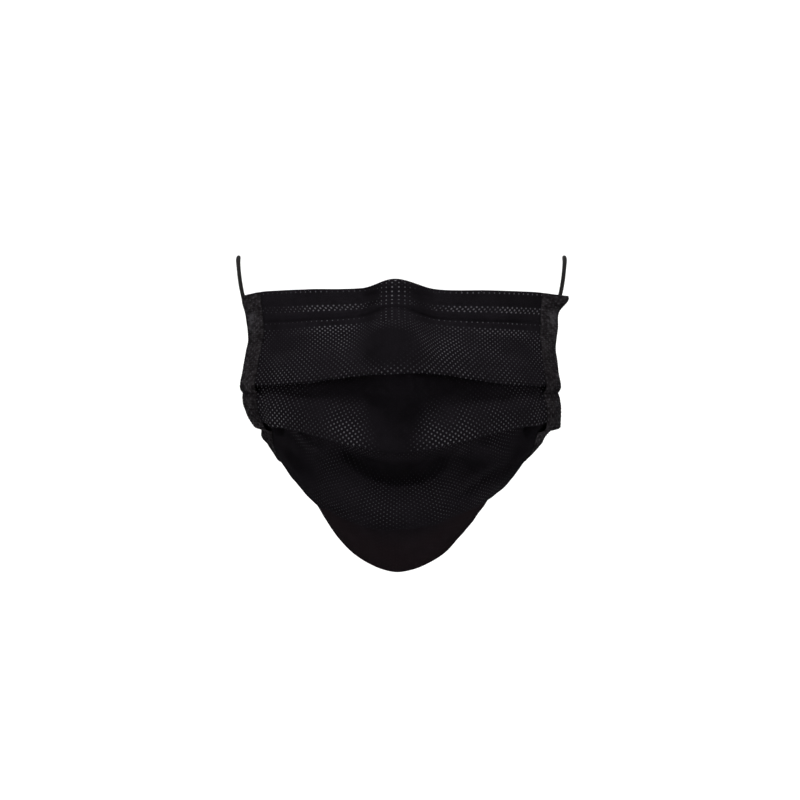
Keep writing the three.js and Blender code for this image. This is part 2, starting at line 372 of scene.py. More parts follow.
CREASES: Marks = {
    Panel.NOSE: (
        Crease(((-19, 3.2), (-13, 4.6), (-6.5, 3.6)), 1.5, -0.75),
        Crease(((-16.5, 7.6), (-10, 7.9), (-4.5, 6.4)), 1.1, 0.5),
        Crease(((16, 3.4), (11, 4.8), (5.5, 3.8)), 1.5, -0.6),
        Crease(((17.4, 0.0), (17.8, 8), (18.4, 17)), 0.9, -0.55, 0.15),
        Crease(((-17.6, 1.0), (-17.6, 8), (-19.0, 15)), 1.6, -0.35, 0.2),
        Crease(((-26, 21), (-20, 28), (-17, 36)), 4.0, -0.8),
        Crease(((22, 20), (18, 27), (15, 36)), 4.0, -0.7),
        Crease(((-74, 27), (-58, 28.5), (-44, 27)), 2.4, -0.45),
        Crease(((-75, 35), (-60, 33.5), (-48, 35)), 2.2, 0.35),
        Crease(((75, 22), (62, 25), (47, 24)), 2.4, -0.45),
        Crease(((75, 31), (60, 33), (46, 32)), 2.6, 0.45),
    ),
    Panel.MOUTH: (
        Crease(((-1.5, 46), (-2, 58), (-2, 70)), 8.0, -1.5, 0.2),
        Crease(((-64, 52), (-42, 58), (-17, 67)), 6.5, 0.9),
        Crease(((64, 52), (42, 58), (18, 66.5)), 6.5, 0.9),
        Crease(((-58, 47), (-34, 50), (-13, 58)), 4.0, -0.8),
        Crease(((56, 48), (36, 51), (13, 58)), 4.5, -0.8),
        Crease(((8.5, 41), (9, 46), (7.5, 53)), 1.3, 0.8, 0.2),
        Crease(((-76, 44), (-75, 48), (-74.5, 54)), 2.4, -1.0),
        Crease(((76, 44), (75, 48), (74.5, 54)), 2.4, -0.8),
        Dent(-67, 69, (6, 5), 0.9),
        Dent(68, 69, (6, 5), 0.9),
    ),
    Panel.CHIN: (
        Crease(
            ((-33, 71), (-23, 73.5), (-14, 77.5), (-6, 79.5),
             (2, 80), (10, 79.3), (17, 76), (26, 71.5)),
            4.2, -3.8, 0.14,
        ),
        Crease(
            ((-29, 76), (-18, 81.5), (-10, 85.5), (2, 87.5), (12, 86), (19, 81), (26, 76)),
            2.4, 1.3, 0.2,
        ),
        Crease(((-62, 73), (-55, 76), (-48, 80), (-40, 83)), 3.6, -1.1),
        Crease(((-52, 72.5), (-41, 75.5), (-31, 79.5)), 2.6, 1.2),
        Crease(((-70, 82), (-50, 87.5), (-30, 93)), 4.2, -1.4),
        Crease(((-68, 90), (-50, 95), (-33, 99)), 3.0, 0.9),
        Crease(((26, 74), (29, 81), (36, 88)), 2.8, -2.2),
        Crease(((33, 72.5), (41, 78.5), (51, 85)), 3.2, 1.5),
        Crease(((64, 79), (55, 85), (45, 89)), 3.0, -1.1),
        Crease(((17, 98), (28, 94), (36, 92), (46, 91), (56, 92)), 2.4, -2.0),
        Crease(((-38, 99), (-28, 100.6), (-16, 100), (-5, 101)), 1.2, -0.9),
        Crease(((-14, 91), (-4, 94), (8, 92)), 3.5, -0.8),
        Dent(-69.5, 74.5, (5.5, 4.2), -4.4),
        Dent(70.5, 75.5, (5.5, 4.6), -4.4),
    ),
    Panel.JAW: (
        Crease(((-20, 106), (-14, 113), (-10, 122)), 3.0, -0.6),
        Crease(((24, 105), (17, 112), (12, 121)), 3.2, -0.6),
    ),
}

# Where the lattice shows more or less than elsewhere: partly uneven pressing, and partly painted
# # shade under the flaps and over the underside and painted highlights along the flap edges. The
# # height of each spot is added to 1.
PRESSED_AND_LIT: Marks = {
    Panel.NOSE: (
        Dent(-54, 22, (15, 9), -0.7),
        Dent(-70, 26, (9, 22), -0.45),
        Dent(42, 0.0, (36, 2.6), 0.3),
        Dent(-32, 8.8, (20, 3.2), 1.25),
        Dent(44, 8.8, (30, 3.2), 1.45),
        Dent(0, 12.8, (200, 1.8), -0.6),
        Dent(40, 15.4, (30, 1.6), 0.7),
        Dent(-40, 15.4, (26, 1.6), 0.2),
        Dent(40, 19.4, (26, 2.0), 0.9),
        Dent(-34, 19.4, (22, 2.0), 0.7),
        Dent(0, 9, (6, 8), 0.4),
        Dent(-12.5, 9, (5.5, 12), -1.2),
        Dent(12.5, 9, (5.5, 12), -1.2),
        Dent(-1, 24, (11, 6), -0.6),
        Dent(-4.5, 32, (10.5, 8), -1.15),
        Dent(0, 41, (14, 1.4), 0.7),
        Dent(56, 25, (13, 5), -0.5),
        Dent(68, 33, (12, 9), -0.35),
        Dent(30, 35, (26, 8), 0.15),
    ),
    Panel.MOUTH: (
        Dent(-1.5, 62, (9.5, 15), -1.5),
        Dent(0, 45.5, (58, 8.5), -1.1),
        Dent(0, 56, (80, 6), -0.3),
        Dent(-24, 66.5, (15, 4.2), 0.6),
        Dent(24, 66.5, (19, 4.2), 0.55),
        Dent(-57, 62, (13, 9), 0.5),
        Dent(-46, 60, (12, 8), -0.3),
    ),
    Panel.CHIN: (
        Dent(0, 78, (24, 7), -0.6),
        Dent(0, 90, (200, 30), -0.5),
        Dent(-54, 92, (21, 11), -0.75),
        Dent(54, 91, (18, 11), -0.4),
        Dent(32, 84, (9, 6), -0.4),
        Dent(-68, 82, (13, 14), -0.9),
        Dent(69, 82, (13, 14), -0.9),
        Dent(0, 104.5, (90, 2.6), -0.45),
    ),
    Panel.JAW: (
        Dent(0, 114, (200, 40), -1.0),
    ),
}


def marked(marks: Marks, panel: np.ndarray, wide: np.ndarray, down: np.ndarray) -> np.ndarray:
    """How much each panel's own marks add up to at places of the cloth.

    Args:
        marks: the marks of each panel.
        panel: the number of the panel that each place is on.
        wide: millimetres of cloth from the centre line, of the same shape.
        down: places down, of the same shape.

    Returns:
        The sum of the marks' heights, of the same shape.
    """
    total = np.zeros(wide.shape)
    for own, its_marks in marks.items():
        on = panel == own.value
        for mark in its_marks:
            total[on] += mark.lift(wide[on], down[on])
    return total


@dataclass(frozen=True)
class Ripple:
    """Smooth uneven waves.

    The height is in millimetres. The reach is the size of a wave, in millimetres of cloth and in
    places down. The layer is the layer of noise that it takes.
    """

    height: float
    reach: Pair
    layer: float

    def lift(self, wide: np.ndarray, down: np.ndarray) -> np.ndarray:
        """Its height at places of the cloth, in millimetres."""
        return self.height * rough(wide / self.reach[0], down / self.reach[1], self.layer)


@dataclass(frozen=True)
class Pull:
    """A place near one side edge that is drawn off the guide surface.

    Its middle is millimetres of cloth from the side edge and places down, its reach the half
    width and half length, and its move is in millimetres along x, y and z.
    """

    side: Side
    inside: float
    down: float
    reach: Pair
    move: Triple


PULLS = (
    # The elastic draws the top corners out, and their tips down.
    Pull(Side.LEFT, 0, 2, (6, 4.6), (-1.4, 0, 0)),
    Pull(Side.RIGHT, 0, 1, (6, 4.6), (4.6, -1, 0)),
    Pull(Side.LEFT, 0, 0, (7.5, 9), (0, 0, -1.5)),
    Pull(Side.RIGHT, 0, 0, (7.5, 9), (0, 0, -1.5)),
    # The sides bulge beside the hem.
    Pull(Side.LEFT, 0, 10.5, (12, 6), (-1.3, 0, 0)),
    Pull(Side.RIGHT, 0, 14.5, (12, 7.5), (1.9, 0, 0)),
    # They fill out under the mouth panel.
    Pull(Side.LEFT, 0, 87, (12, 7), (-1.7, 0, 0)),
    Pull(Side.RIGHT, 0, 75, (12, 4.5), (1.7, 0, 0)),
    # The right cheek is fuller than the left one.
    Pull(Side.RIGHT, 30, 93, (15, 12), (2.4, 0, 0)),
)


@dataclass
class Drape:
    """The surface that the cloth, its binding and its folds are laid on.

    A name that ends in rows gives places down, where something starts and ends, and a name that
    ends in mm gives millimetres of cloth. The gathers fade over their reach from the side edges.
    Marks stop short of the bindings, and folds are straight there. The fold waves are read a step
    apart for each fold, and each pleat's wobble scales them. The jaw is lifted round a middle,
    over a half width. Slopes are measured over one small step across and one down.
    """

    cloth_half: float = 87.5 * MM
    undulations: tuple[Ripple, ...] = (Ripple(0.5, (26, 21), 3.1), Ripple(0.2, (11, 8), 7.7))
    gathers: Ripple = Ripple(0.45, (30, 6.5), 1.3)
    gathers_reach_mm: float = 14.0
    crinkles: Ripple = Ripple(0.16, (5.5, 4.5), 11.9)
    crinkled_rows: Pair = (72.0, 80.0)
    marks_end_mm: Pair = (9.8, 13.0)
    fold_waves: Ripple = Ripple(1.0, (8.5, 1.0), 2.2)
    fold_waves_step: float = 5.0
    fold_loose_mm: Pair = (10.0, 16.0)
    jaw_lift: float = 0.9 * MM
    jaw_wide_mm: Pair = (27.0, 12.0)
    jaw_rows: Pair = (99.0, 112.0)
    slope_step: Pair = (0.004, 0.4)

    @property
    def last(self) -> float:
        """The row scale's end, at the bottom edge."""
        return float(SECTION_DOWN[-1])

    def wide(self, across: np.ndarray) -> np.ndarray:
        """Millimetres of cloth from the centre line."""
        return across * self.cloth_half / MM

    def from_edge(self, across: np.ndarray) -> np.ndarray:
        """Millimetres of cloth to the nearer side edge."""
        return (1 - np.abs(across)) * self.cloth_half / MM

    def point(self, across: np.ndarray, down: np.ndarray) -> np.ndarray:
        """N points of the guide surface, at N places across and down."""
        rows = [curve_through(SECTION_ACROSS, points, across) for points in SECTION_POINTS]
        return curve_through(SECTION_DOWN, np.array(rows), down)

    def steps(self, across: np.ndarray, down: np.ndarray) -> tuple[np.ndarray, np.ndarray]:
        """How the surface moves for one step across and one step down.

        Args:
            across: N places across.
            down: N places down.

        Returns:
            N moves for a whole half width, and N moves for one row of the scale.
        """
        beside, below = self.slope_step
        sideways = self.point(across + beside, down) - self.point(across - beside, down)
        downwards = self.point(across, down + below) - self.point(across, down - below)
        return sideways / (2 * beside), downwards / (2 * below)

    def down_size(self, across: np.ndarray, down: np.ndarray) -> np.ndarray:
        """Metres of cloth in one step of the row scale."""
        return np.linalg.norm(self.steps(across, down)[1], axis=1)

    def across_size(self, across: np.ndarray, down: np.ndarray) -> np.ndarray:
        """Metres of cloth in one whole half width."""
        return np.linalg.norm(self.steps(across, down)[0], axis=1)

    def place(
        self, across: np.ndarray, down: np.ndarray, out: np.ndarray,
        panel: np.ndarray | None = None, shown: np.ndarray | None = None,
    ) -> np.ndarray:
        """Points that lie `out` metres off the surface, with its dents and wrinkles.

        Args:
            across: places across, of any shape.
            down: places down, of the same shape.
            out: distances off the surface, of the same shape.
            panel: the number of the panel that each place is on, which adds that panel's marks.
            shown: how much of the marks each place shows.

        Returns:
            Points, in an array with one more axis.
        """
        shape = np.shape(across)
        given = (np.broadcast_to(a, shape) for a in (across, down, out))
        across, down, out = (np.ravel(a).astype(float) for a in given)
        sideways, downwards = self.steps(across, down)
        outward = np.cross(downwards, sideways)
        outward /= np.linalg.norm(outward, axis=1)[:, None]
        lift = self.lift(across, down)
        if panel is not None:
            lift = lift + self.creases(across, down, np.ravel(panel)) * np.ravel(shown)
        made = self.point(across, down) + outward * (out + lift)[:, None]
        return (made + self.pulled(across, down)).reshape(shape + (3,))

    def lift(self, across: np.ndarray, down: np.ndarray) -> np.ndarray:
        """Undulations and edge gathers that move every layer alike.

        Args:
            across: places across.
            down: places down, of the same shape.

        Returns:
            The heights in metres, of the same shape.
        """
        wide = self.wide(across)
        soft = sum(ripple.lift(wide, down) for ripple in self.undulations)
        near_edge = np.exp(-self.from_edge(across) / self.gathers_reach_mm)
        return (soft + near_edge * self.gathers.lift(wide, down)) * MM

    def creases(self, across: np.ndarray, down: np.ndarray, panel: np.ndarray) -> np.ndarray:
        """Creases and dents of the separate panels, which stop short of the bindings.

        Args:
            across: places across.
            down: places down, of the same shape.
            panel: the number of the panel that each place is on.

        Returns:
            The heights in metres, of the same shape.
        """
        wide = self.wide(across)
        fine = self.crinkles.lift(wide, down) * ease(*self.crinkled_rows, down)
        clear = ease(*self.marks_end_mm, self.from_edge(across))
        return (marked(CREASES, panel, wide, down) + fine) * clear * MM

    def stack(self, across: np.ndarray, down: np.ndarray) -> np.ndarray:
        """How far the front of the pleated stack stands off the surface.

        Each panel rises towards its fold, and past the fold the stack steps back to the panel
        below.

        Args:
            across: N places across.
            down: N places down.

        Returns:
            N heights in metres.
        """
        total = np.zeros_like(down)
        for flap in self.flaps(across):
            rise_from = flap.start + (flap.flat - flap.start) * FLAP_START
            first, last = flap.pleat.step
            falling = 1 - ease(flap.edge + first, flap.edge + last, down)
            total = np.maximum(total, flap.height * ease(rise_from, flap.flat, down) * falling)
        return total

    def flaps(self, across: np.ndarray) -> list[Flap]:
        """The pleated panels at places across.

        Args:
            across: the places across.

        Returns:
            The panel of each pleat, from the top down.
        """
        wide = self.wide(across)
        loose = ease(*self.fold_loose_mm, self.from_edge(across))
        made = []
        start = np.zeros_like(across)
        for number, pleat in enumerate(PLEATS):
            level = np.full_like(wide, self.fold_waves_step * number)
            edge = pleat.down + pleat.wobble * self.fold_waves.lift(wide, level) * loose
            size = self.down_size(across, edge)
            lap, bend = pleat_size(pleat.lap, across) / size, FOLD / size
            height = pleat_size(pleat.rise, across)
            made.append(Flap(pleat, start, edge - lap - bend, edge, height))
            start = edge - lap + bend + FOLD_TO_PANEL
        return made

    def pulled(self, across: np.ndarray, down: np.ndarray) -> np.ndarray:
        """How far the PULLS move the cloth off the guide surface, and the jaw's lift on the right.

        Args:
            across: N places across.
            down: N places down.

        Returns:
            N moves.
        """
        inside = np.maximum(self.from_edge(across), 0)
        move = np.zeros(across.shape + (3,))
        for pull in PULLS:
            on_side = (across > 0) == (pull.side is Side.RIGHT)
            inward, downward = pull.reach
            strength = bell(inside, pull.inside, inward) * bell(down, pull.down, downward)
            move += (strength * on_side)[:, None] * np.array(pull.move) * MM
        jaw = bell(self.wide(across), *self.jaw_wide_mm) * ease(*self.jaw_rows, down)
        move[:, 2] += self.jaw_lift * jaw
        return move


# -------------------------------------------------------------------------------------------
# Shader maths
# -------------------------------------------------------------------------------------------


@dataclass(frozen=True)
class Value:
    """One number that changes over a surface: an output socket with arithmetic."""

    recipe: Recipe
    socket: bpy.types.NodeSocket

    def _math(self, operation: str, *terms: Value | float) -> Value:
        """A Math node on its terms in order."""
        return self.recipe.value("ShaderNodeMath", {"operation": operation}, dict(enumerate(terms)))

    def __add__(self, other: Value | float) -> Value:
        """Sum."""
        return self._math("ADD", self, other)

    __radd__ = __add__

    def __mul__(self, other: Value | float) -> Value:
        """Product."""
        return self._math("MULTIPLY", self, other)

    __rmul__ = __mul__

    def __sub__(self, other: Value | float) -> Value:
        """Difference."""
        return self._math("SUBTRACT", self, other)

    def __rsub__(self, other: float) -> Value:
        """Difference from a plain number."""
        return self._math("SUBTRACT", other, self)

    def __truediv__(self, other: Value | float) -> Value:
        """Quotient."""
        return self._math("DIVIDE", self, other)

    def part(self) -> Value:
        """The part after the decimal point."""
        return self._math("FRACT", self)

    def least(self, other: Value | float) -> Value:
        """The smaller of two."""
        return self._math("MINIMUM", self, other)

    def most(self, other: Value | float) -> Value:
        """The larger of two."""
        return self._math("MAXIMUM", self, other)

    def wave(self) -> Value:
        """Sine."""
        return self._math("SINE", self)

    def root(self) -> Value:
        """Square root."""
        return self._math("SQRT", self)

    def ease(self, start: float, end: float) -> Value:
        """0 at start, 1 at end and an even S-curve between, whichever of them is larger.

        Args:
            start: where it is 0.
            end: where it is 1.

        Returns:
            The eased value.
        """
        made = self.recipe.value(
            "ShaderNodeMapRange",
            {"interpolation_type": "SMOOTHSTEP"},
            {"Value": self, "From Min": min(start, end), "From Max": max(start, end)},
        )
        return made if start < end else 1.0 - made

    def between(self, low: float, high: float, soft: float) -> Value:
        """1 between two places, with soft ends."""
        return self.ease(low - soft, low + soft) * self.ease(high + soft, high - soft)


class Recipe:
    """Makes the nodes of one material."""

    def __init__(self, name: str) -> None:
        """Starts an empty material.

        Args:
            name: the material's name.
        """
        self.material = bpy.data.materials.new(name)
        self.material.use_nodes = True
        self.tree = self.material.node_tree
        self.tree.nodes.clear()

    def node(
        self, kind: str, settings: dict | None = None, sockets: dict | None = None
    ) -> bpy.types.Node:
        """Makes a node.

        Args:
            kind: the node's type.
            settings: its own settings, which are set first.
            sockets: numbers, colours, Values or sockets for its inputs, by name or place.

        Returns:
            The node.
        """
        made = self.tree.nodes.new(kind)
        for key, setting in (settings or {}).items():
            setattr(made, key, setting)
        for key, given in (sockets or {}).items():
            given = given.socket if isinstance(given, Value) else given
            if isinstance(given, bpy.types.NodeSocket):
                self.tree.links.new(given, made.inputs[key])
            else:
                made.inputs[key].default_value = given
        return made

    def value(
        self, kind: str, settings: dict | None = None, sockets: dict | None = None,
        out: int | str = 0,
    ) -> Value:
        """One output, first unless told otherwise, of a node made as `node` makes it."""
        return Value(self, self.node(kind, settings, sockets).outputs[out])

    def cloth_place(self) -> tuple[Value, Value]:
        """The two coordinates of the piece's UV map.

        Returns:
            The first and the second, in metres of cloth unless the piece says otherwise.
        """
        uv = self.node("ShaderNodeUVMap", {"uv_map": CLOTH_MAP}).outputs["UV"]
        split = self.node("ShaderNodeSeparateXYZ", None, {"Vector": uv})
        return Value(self, split.outputs["X"]), Value(self, split.outputs["Y"])

    def attribute(self, name: str) -> Value:
        """A number that the mesh holds at its points."""
        return self.value("ShaderNodeAttribute", {"attribute_name": name}, None, "Fac")

    def grain(self, scale: float, detail: float, stretch: Triple = (1, 1, 1)) -> Value:
        """Noise over the object's own coordinates.

        Args:
            scale: how many grains to a metre.
            detail: how many finer layers are added.
            stretch: how much closer the grains stand along each axis.

        Returns:
            Noise round 0.5.
        """
        place = self.node("ShaderNodeTexCoord").outputs["Object"]
        mapped = self.node("ShaderNodeMapping", None, {"Vector": place, "Scale": stretch})
        sockets = {"Vector": mapped.outputs[0], "Scale": scale, "Detail": detail}
        return self.value("ShaderNodeTexNoise", None, sockets)

    def mix(
        self, share: Value, first: Triple | bpy.types.NodeSocket, second: Triple
    ) -> bpy.types.NodeSocket:
        """A colour between two others.

        Args:
            share: how much of the second colour it has.
            first: the first colour.
            second: the second colour.

        Returns:
            The mixed colour.
        """
        first = (*first, 1.0) if isinstance(first, tuple) else first
        sockets = {0: share, 6: first, 7: (*second, 1.0)}
        return self.node("ShaderNodeMix", {"data_type": "RGBA"}, sockets).outputs[2]

    def finish(
        self, colour: bpy.types.NodeSocket, roughness: Value | float,
        height: Value | None = None, depth: float = 0.0, **more: Value | float,
    ) -> bpy.types.Material:
        """Closes the recipe with one surface shader.

        Args:
            colour: base colour.
            roughness: roughness.
            height: the relief, from 0 to about 1.
            depth: how deep a relief of 1 is, in metres.
            **more: the shader's other sockets by name.

        Returns:
            The material.
        """
        sockets = {name.replace("_", " "): given for name, given in more.items()}
        sockets = {"Base Color": colour, "Roughness": roughness, **sockets}
        if height is not None:
            relief = {"Height": height, "Distance": depth, "Strength": 1.0}
            sockets["Normal"] = self.node("ShaderNodeBump", None, relief).outputs["Normal"]
        shader = self.node("ShaderNodeBsdfPrincipled", None, sockets)
        self.node("ShaderNodeOutputMaterial", None, {"Surface": shader.outputs[0]})
        return self.material


def darker(colour: Triple, share: float) -> Triple:
    """The same colour times a share."""
    return tuple(part * share for part in colour)


# -------------------------------------------------------------------------------------------
# Finishes
# -------------------------------------------------------------------------------------------


@dataclass(frozen=True)
class Lattice:
    """Diamond lattice of dots that the bonding roller presses into the cloth."""

    pitch: float = 2.75 * MM
    row: float = 1.1 * MM
    first_row: float = 1.05 * MM
    dot: float = 0.34 * MM
    dot_edge: Pair = (1.3, 0.7)

    def dots(self, along: Value, run: Value, size: Value | float = 1.0) -> tuple[Value, Value]:
        """1 on each dot that the roller presses: the square lattice, and the one that fills its
        gaps.

        Args:
            along: metres along the cloth's row.
            run: metres down the cloth.
            size: how large the dots are beside their usual size.

        Returns:
            The two lattices.
        """
        u = along / self.pitch
        v = (run - self.first_row) / (2 * self.row)
        outer, inner = (self.dot * share for share in self.dot_edge)
        made = []
        for shift in (0.0, 0.5):
            a = ((u + shift).part() - 0.5) * self.pitch
            b = ((v + shift + 0.5).part() - 0.5) * (2 * self.row)
            made.append(((a * a + b * b).root() / size).ease(outer, inner))
        return made[0], made[1]


@dataclass(frozen=True)
class OuterCloth:
    """Bonded non-woven with a lattice of bonded dots, left plain along the hem's channels.

    The dots' light colour is a painted glint, the lattice map paints shade and highlights where it
    shows less or more, and the underside carries a painted reflection of warm skin light. Fibres
    and clouds are grains to a metre. The plain channels are millimetres down the cloth.
    """

    colour: Triple = (0.0048, 0.0043, 0.0052)
    fluff: Triple = (0.0092, 0.0083, 0.0101)
    # The dots' colour, far lighter than the cloth, is a painted glint beside the coat's own gloss.
    dot_glint_colour: Triple = (0.053, 0.050, 0.057)
    # A painted reflection of warm skin light, mixed into the underside from the first run down the
    # cloth to the second.
    skin_reflection: Triple = (0.0074, 0.0046, 0.0051)
    skin_reflection_from: Pair = (205 * MM, 228 * MM)
    plain: tuple[Pair, ...] = ((-0.9, 0.4), (1.6, 7.1), (10.4, 14.8), (15.9, 18.1))
    plain_soft: float = 0.15 * MM
    hem: Pair = (-1 * MM, 21 * MM)
    hem_soft: float = 1.5 * MM
    fibres: float = 2600
    clouds: float = 70
    least_dot: float = 0.78
    shine: float = 0.52
    roughness: float = 0.8
    relief: float = 0.10 * MM

    def make(self) -> bpy.types.Material:
        """Makes the material.

        Returns:
            The material.
        """
        recipe = Recipe("outer_cloth")
        along, run = recipe.cloth_place()
        # The lattice map scales the dots: partly uneven pressing, partly painted shade and painted
        # highlights.
        pressed_and_lit, bridge = recipe.attribute("pressed_and_lit"), recipe.attribute("bridge")
        coarse = bridge * run.between(*self.hem, self.hem_soft)
        dot_size = self.least_dot + pressed_and_lit * (1 - self.least_dot)
        square, filling = Lattice().dots(along, run, dot_size)
        dots = square.most(filling * (1.0 - coarse))
        for low, high in self.plain:
            channel = run.between(low * MM, high * MM, self.plain_soft)
            dots = dots * (1.0 - channel * (1.0 - coarse))
        fibre, cloud = recipe.grain(self.fibres, 3), recipe.grain(self.clouds, 2)
        uneven = 0.35 + 1.25 * cloud.ease(0.3, 0.7)
        shown = (dots * pressed_and_lit * uneven * self.shine).least(1.0)
        raised = 0.3 + pressed_and_lit.least(1.0) * 0.7
        base = recipe.mix(fibre.ease(0.35, 0.7) * raised, self.colour, self.fluff)
        shade = recipe.mix(cloud.ease(0.3, 0.75) * 0.4, base, darker(self.colour, 0.6))
        # Painted reflection of warm skin light over the underside.
        under = recipe.mix(run.ease(*self.skin_reflection_from) * (0.3 + 0.4 * cloud), shade, self.skin_reflection)
        return recipe.finish(
            recipe.mix(shown, under, self.dot_glint_colour),
            self.roughness - shown * 0.3 + (fibre - 0.5) * 0.16,
            height=fibre * 0.3 - dots * (0.35 + 0.5 * pressed_and_lit.least(1.0)),
            depth=self.relief,
            Coat_Weight=shown * 0.45,
            Coat_Roughness=0.36,
            Specular_IOR_Level=0.0,
            Sheen_Weight=0.002,
            Sheen_Roughness=0.45,
        )


@dataclass(frozen=True)
class InnerCloth:
    """Soft inner layer: a finer, plainer non-woven. Fibres and clouds are grains to a metre."""

    colour: Triple = (0.0060, 0.0057, 0.0063)
    fluff: Triple = (0.0125, 0.0120, 0.0130)
    fibres: float = 1900
    fibre_stretch: Triple = (1, 1, 0.55)
    clouds: float = 55
    roughness: float = 0.85
    relief: float = 0.06 * MM

    def make(self) -> bpy.types.Material:
        """Makes the material.

        Returns:
            The material.
        """
        recipe = Recipe("inner_cloth")
        fibre = recipe.grain(self.fibres, 4, self.fibre_stretch)
        cloud = recipe.grain(self.clouds, 2)
        fluffed = fibre.ease(0.35, 0.7) * (0.6 + 0.4 * cloud)
        return recipe.finish(
            recipe.mix(fluffed, self.colour, self.fluff),
            self.roughness + (fibre - 0.5) * 0.1,
            height=fibre,
            depth=self.relief,
            Specular_IOR_Level=0.06,
            Sheen_Weight=0.008,
            Sheen_Roughness=0.5,
        )


@dataclass(frozen=True)
class BindingCloth:
    """Ribbed binding strip with painted sheen on its ribs and a painted highlight near its top.

    Fibres, clouds and blotches are grains to a metre.
    """

    colour: Triple = (0.0030, 0.0026, 0.0029)
    rib_sheen_and_mottle_colour: Triple = (0.0215, 0.0195, 0.0211)
    sheen_and_dot_colour: Triple = (0.042, 0.040, 0.044)
    sheen_spot_run: Pair = (9.5 * MM, 16.5 * MM)
    sheen_spot_run_soft: float = 3 * MM
    sheen_spot_inset: Pair = (1 * MM, 5 * MM)
    sheen_spot_inset_soft: float = 2.5 * MM
    fibres: float = 2400
    clouds: float = 110
    blotches: float = 560
    roughness: float = 0.62
    relief: float = 0.09 * MM

    def make(self) -> bpy.types.Material:
        """Makes the material.

        Returns:
            The material.
        """
        recipe = Recipe("binding_cloth")
        inset, run = recipe.cloth_place()
        crest = (run * (math.tau / RIB)).wave() * 0.5 + 0.5
        square, filling = Lattice().dots(inset, run)
        fibre = recipe.grain(self.fibres, 3)
        cloud, blotch = recipe.grain(self.clouds, 2), recipe.grain(self.blotches, 2)
        # Rib crests are lighter in a painted sheen; the fibre grain and blotches are the strip's
        # own mottling.
        lit = crest * 0.2 + fibre * 0.2 + blotch.ease(0.35, 0.65) * 0.6
        dull = recipe.mix(lit, self.colour, self.rib_sheen_and_mottle_colour)
        # A painted sheen highlight on the strip near its top, over the ribs and dots.
        sheen_spot = run.between(*self.sheen_spot_run, self.sheen_spot_run_soft)
        sheen_spot = sheen_spot * inset.between(*self.sheen_spot_inset, self.sheen_spot_inset_soft)
        sheen_spot = sheen_spot * (0.25 + blotch.ease(0.4, 0.65)).least(1.0)
        dots = square.most(filling) * blotch.ease(0.3, 0.6) * 0.7
        dotted = recipe.mix(dots, dull, self.sheen_and_dot_colour)
        shade = recipe.mix(cloud.ease(0.35, 0.7) * 0.45, dotted, self.colour)
        return recipe.finish(
            recipe.mix(sheen_spot * 0.75, shade, self.sheen_and_dot_colour),
            self.roughness + (fibre - 0.5) * 0.2 - sheen_spot * 0.12,
            height=fibre * 0.5 + blotch * 0.6,
            depth=self.relief,
            Specular_IOR_Level=0.0,
            Sheen_Weight=0.003,
            Sheen_Roughness=0.4,
        )


@dataclass(frozen=True)
class Elastic:
    """Round knitted elastic. Fibres are grains to a metre."""

    colour: Triple = (0.0040, 0.0036, 0.0036)
    crest: Triple = (0.0110, 0.0098, 0.0095)
    stitch: float = 0.9 * MM
    stitches_round: int = 3
    fibres: float = 3200
    roughness: float = 0.72
    relief: float = 0.12 * MM

    def make(self) -> bpy.types.Material:
        """Makes the material.

        Returns:
            The material.
        """
        recipe = Recipe("elastic_knit")
        turn, run = recipe.cloth_place()
        way = run * (math.tau / self.stitch)
        round_way = turn * (math.tau * self.stitches_round)
        knit = (way + round_way).wave() * (way - round_way).wave() * 0.5 + 0.5
        fibre = recipe.grain(self.fibres, 2)
        return recipe.finish(
            recipe.mix(knit.ease(0.35, 0.85), self.colour, self.crest),
            self.roughness + (fibre - 0.5) * 0.2,
            height=knit + fibre * 0.3,
            depth=self.relief,
            Specular_IOR_Level=0.04,
            Sheen_Weight=0.004,
            Sheen_Roughness=0.4,
        )


@dataclass(frozen=True)
class WireCover:
    """Smooth plastic cover of the nose wire. Streaks are grains to a metre."""

    colour: Triple = (0.012, 0.012, 0.013)
    streaks: float = 900
    streak_stretch: Triple = (0.1, 1, 1)
    roughness: float = 0.42
    relief: float = 0.02 * MM

    def make(self) -> bpy.types.Material:
        """Makes the material.

        Returns:
            The material.
        """
        recipe = Recipe("wire_cover")
        streak = recipe.grain(self.streaks, 2, self.streak_stretch)
        colour = recipe.mix(streak * 0.4, self.colour, darker(self.colour, 2))
        roughness = self.roughness + (streak - 0.5) * 0.15
        return recipe.finish(colour, roughness, height=streak, depth=self.relief)


@dataclass(frozen=True)
class Paper:
    """Plain pale studio paper. Its tooth is grains to a metre."""

    colour: Triple = (0.86, 0.86, 0.86)
    tooth: float = 60
    roughness: float = 0.9

    def make(self) -> bpy.types.Material:
        """Makes the material.

        Returns:
            The material.
        """
        recipe = Recipe("studio_paper")
        share = recipe.grain(self.tooth, 2) * 0.05
        colour = recipe.mix(share, self.colour, darker(self.colour, 0.97))
        return recipe.finish(colour, self.roughness, Specular_IOR_Level=0.2)


# -------------------------------------------------------------------------------------------
# Meshes
# -------------------------------------------------------------------------------------------


def new_object(name: str, points: np.ndarray, faces: list[tuple[int, ...]]) -> bpy.types.Object:
    """Makes a smooth mesh object at the origin, and links it to the scene.

    Args:
        name: the object's name.
        points: the mesh's points, in an array whose last axis is x, y and z.
        faces: the point numbers of each face.

    Returns:
        The object.
    """
    mesh = bpy.data.meshes.new(name)
    mesh.from_pydata(points.reshape(-1, 3).tolist(), [], faces)
    made = bpy.data.objects.new(name, mesh)
    bpy.context.scene.collection.objects.link(made)
    mesh.polygons.foreach_set("use_smooth", [True] * len(mesh.polygons))
    mesh.update()
    return made


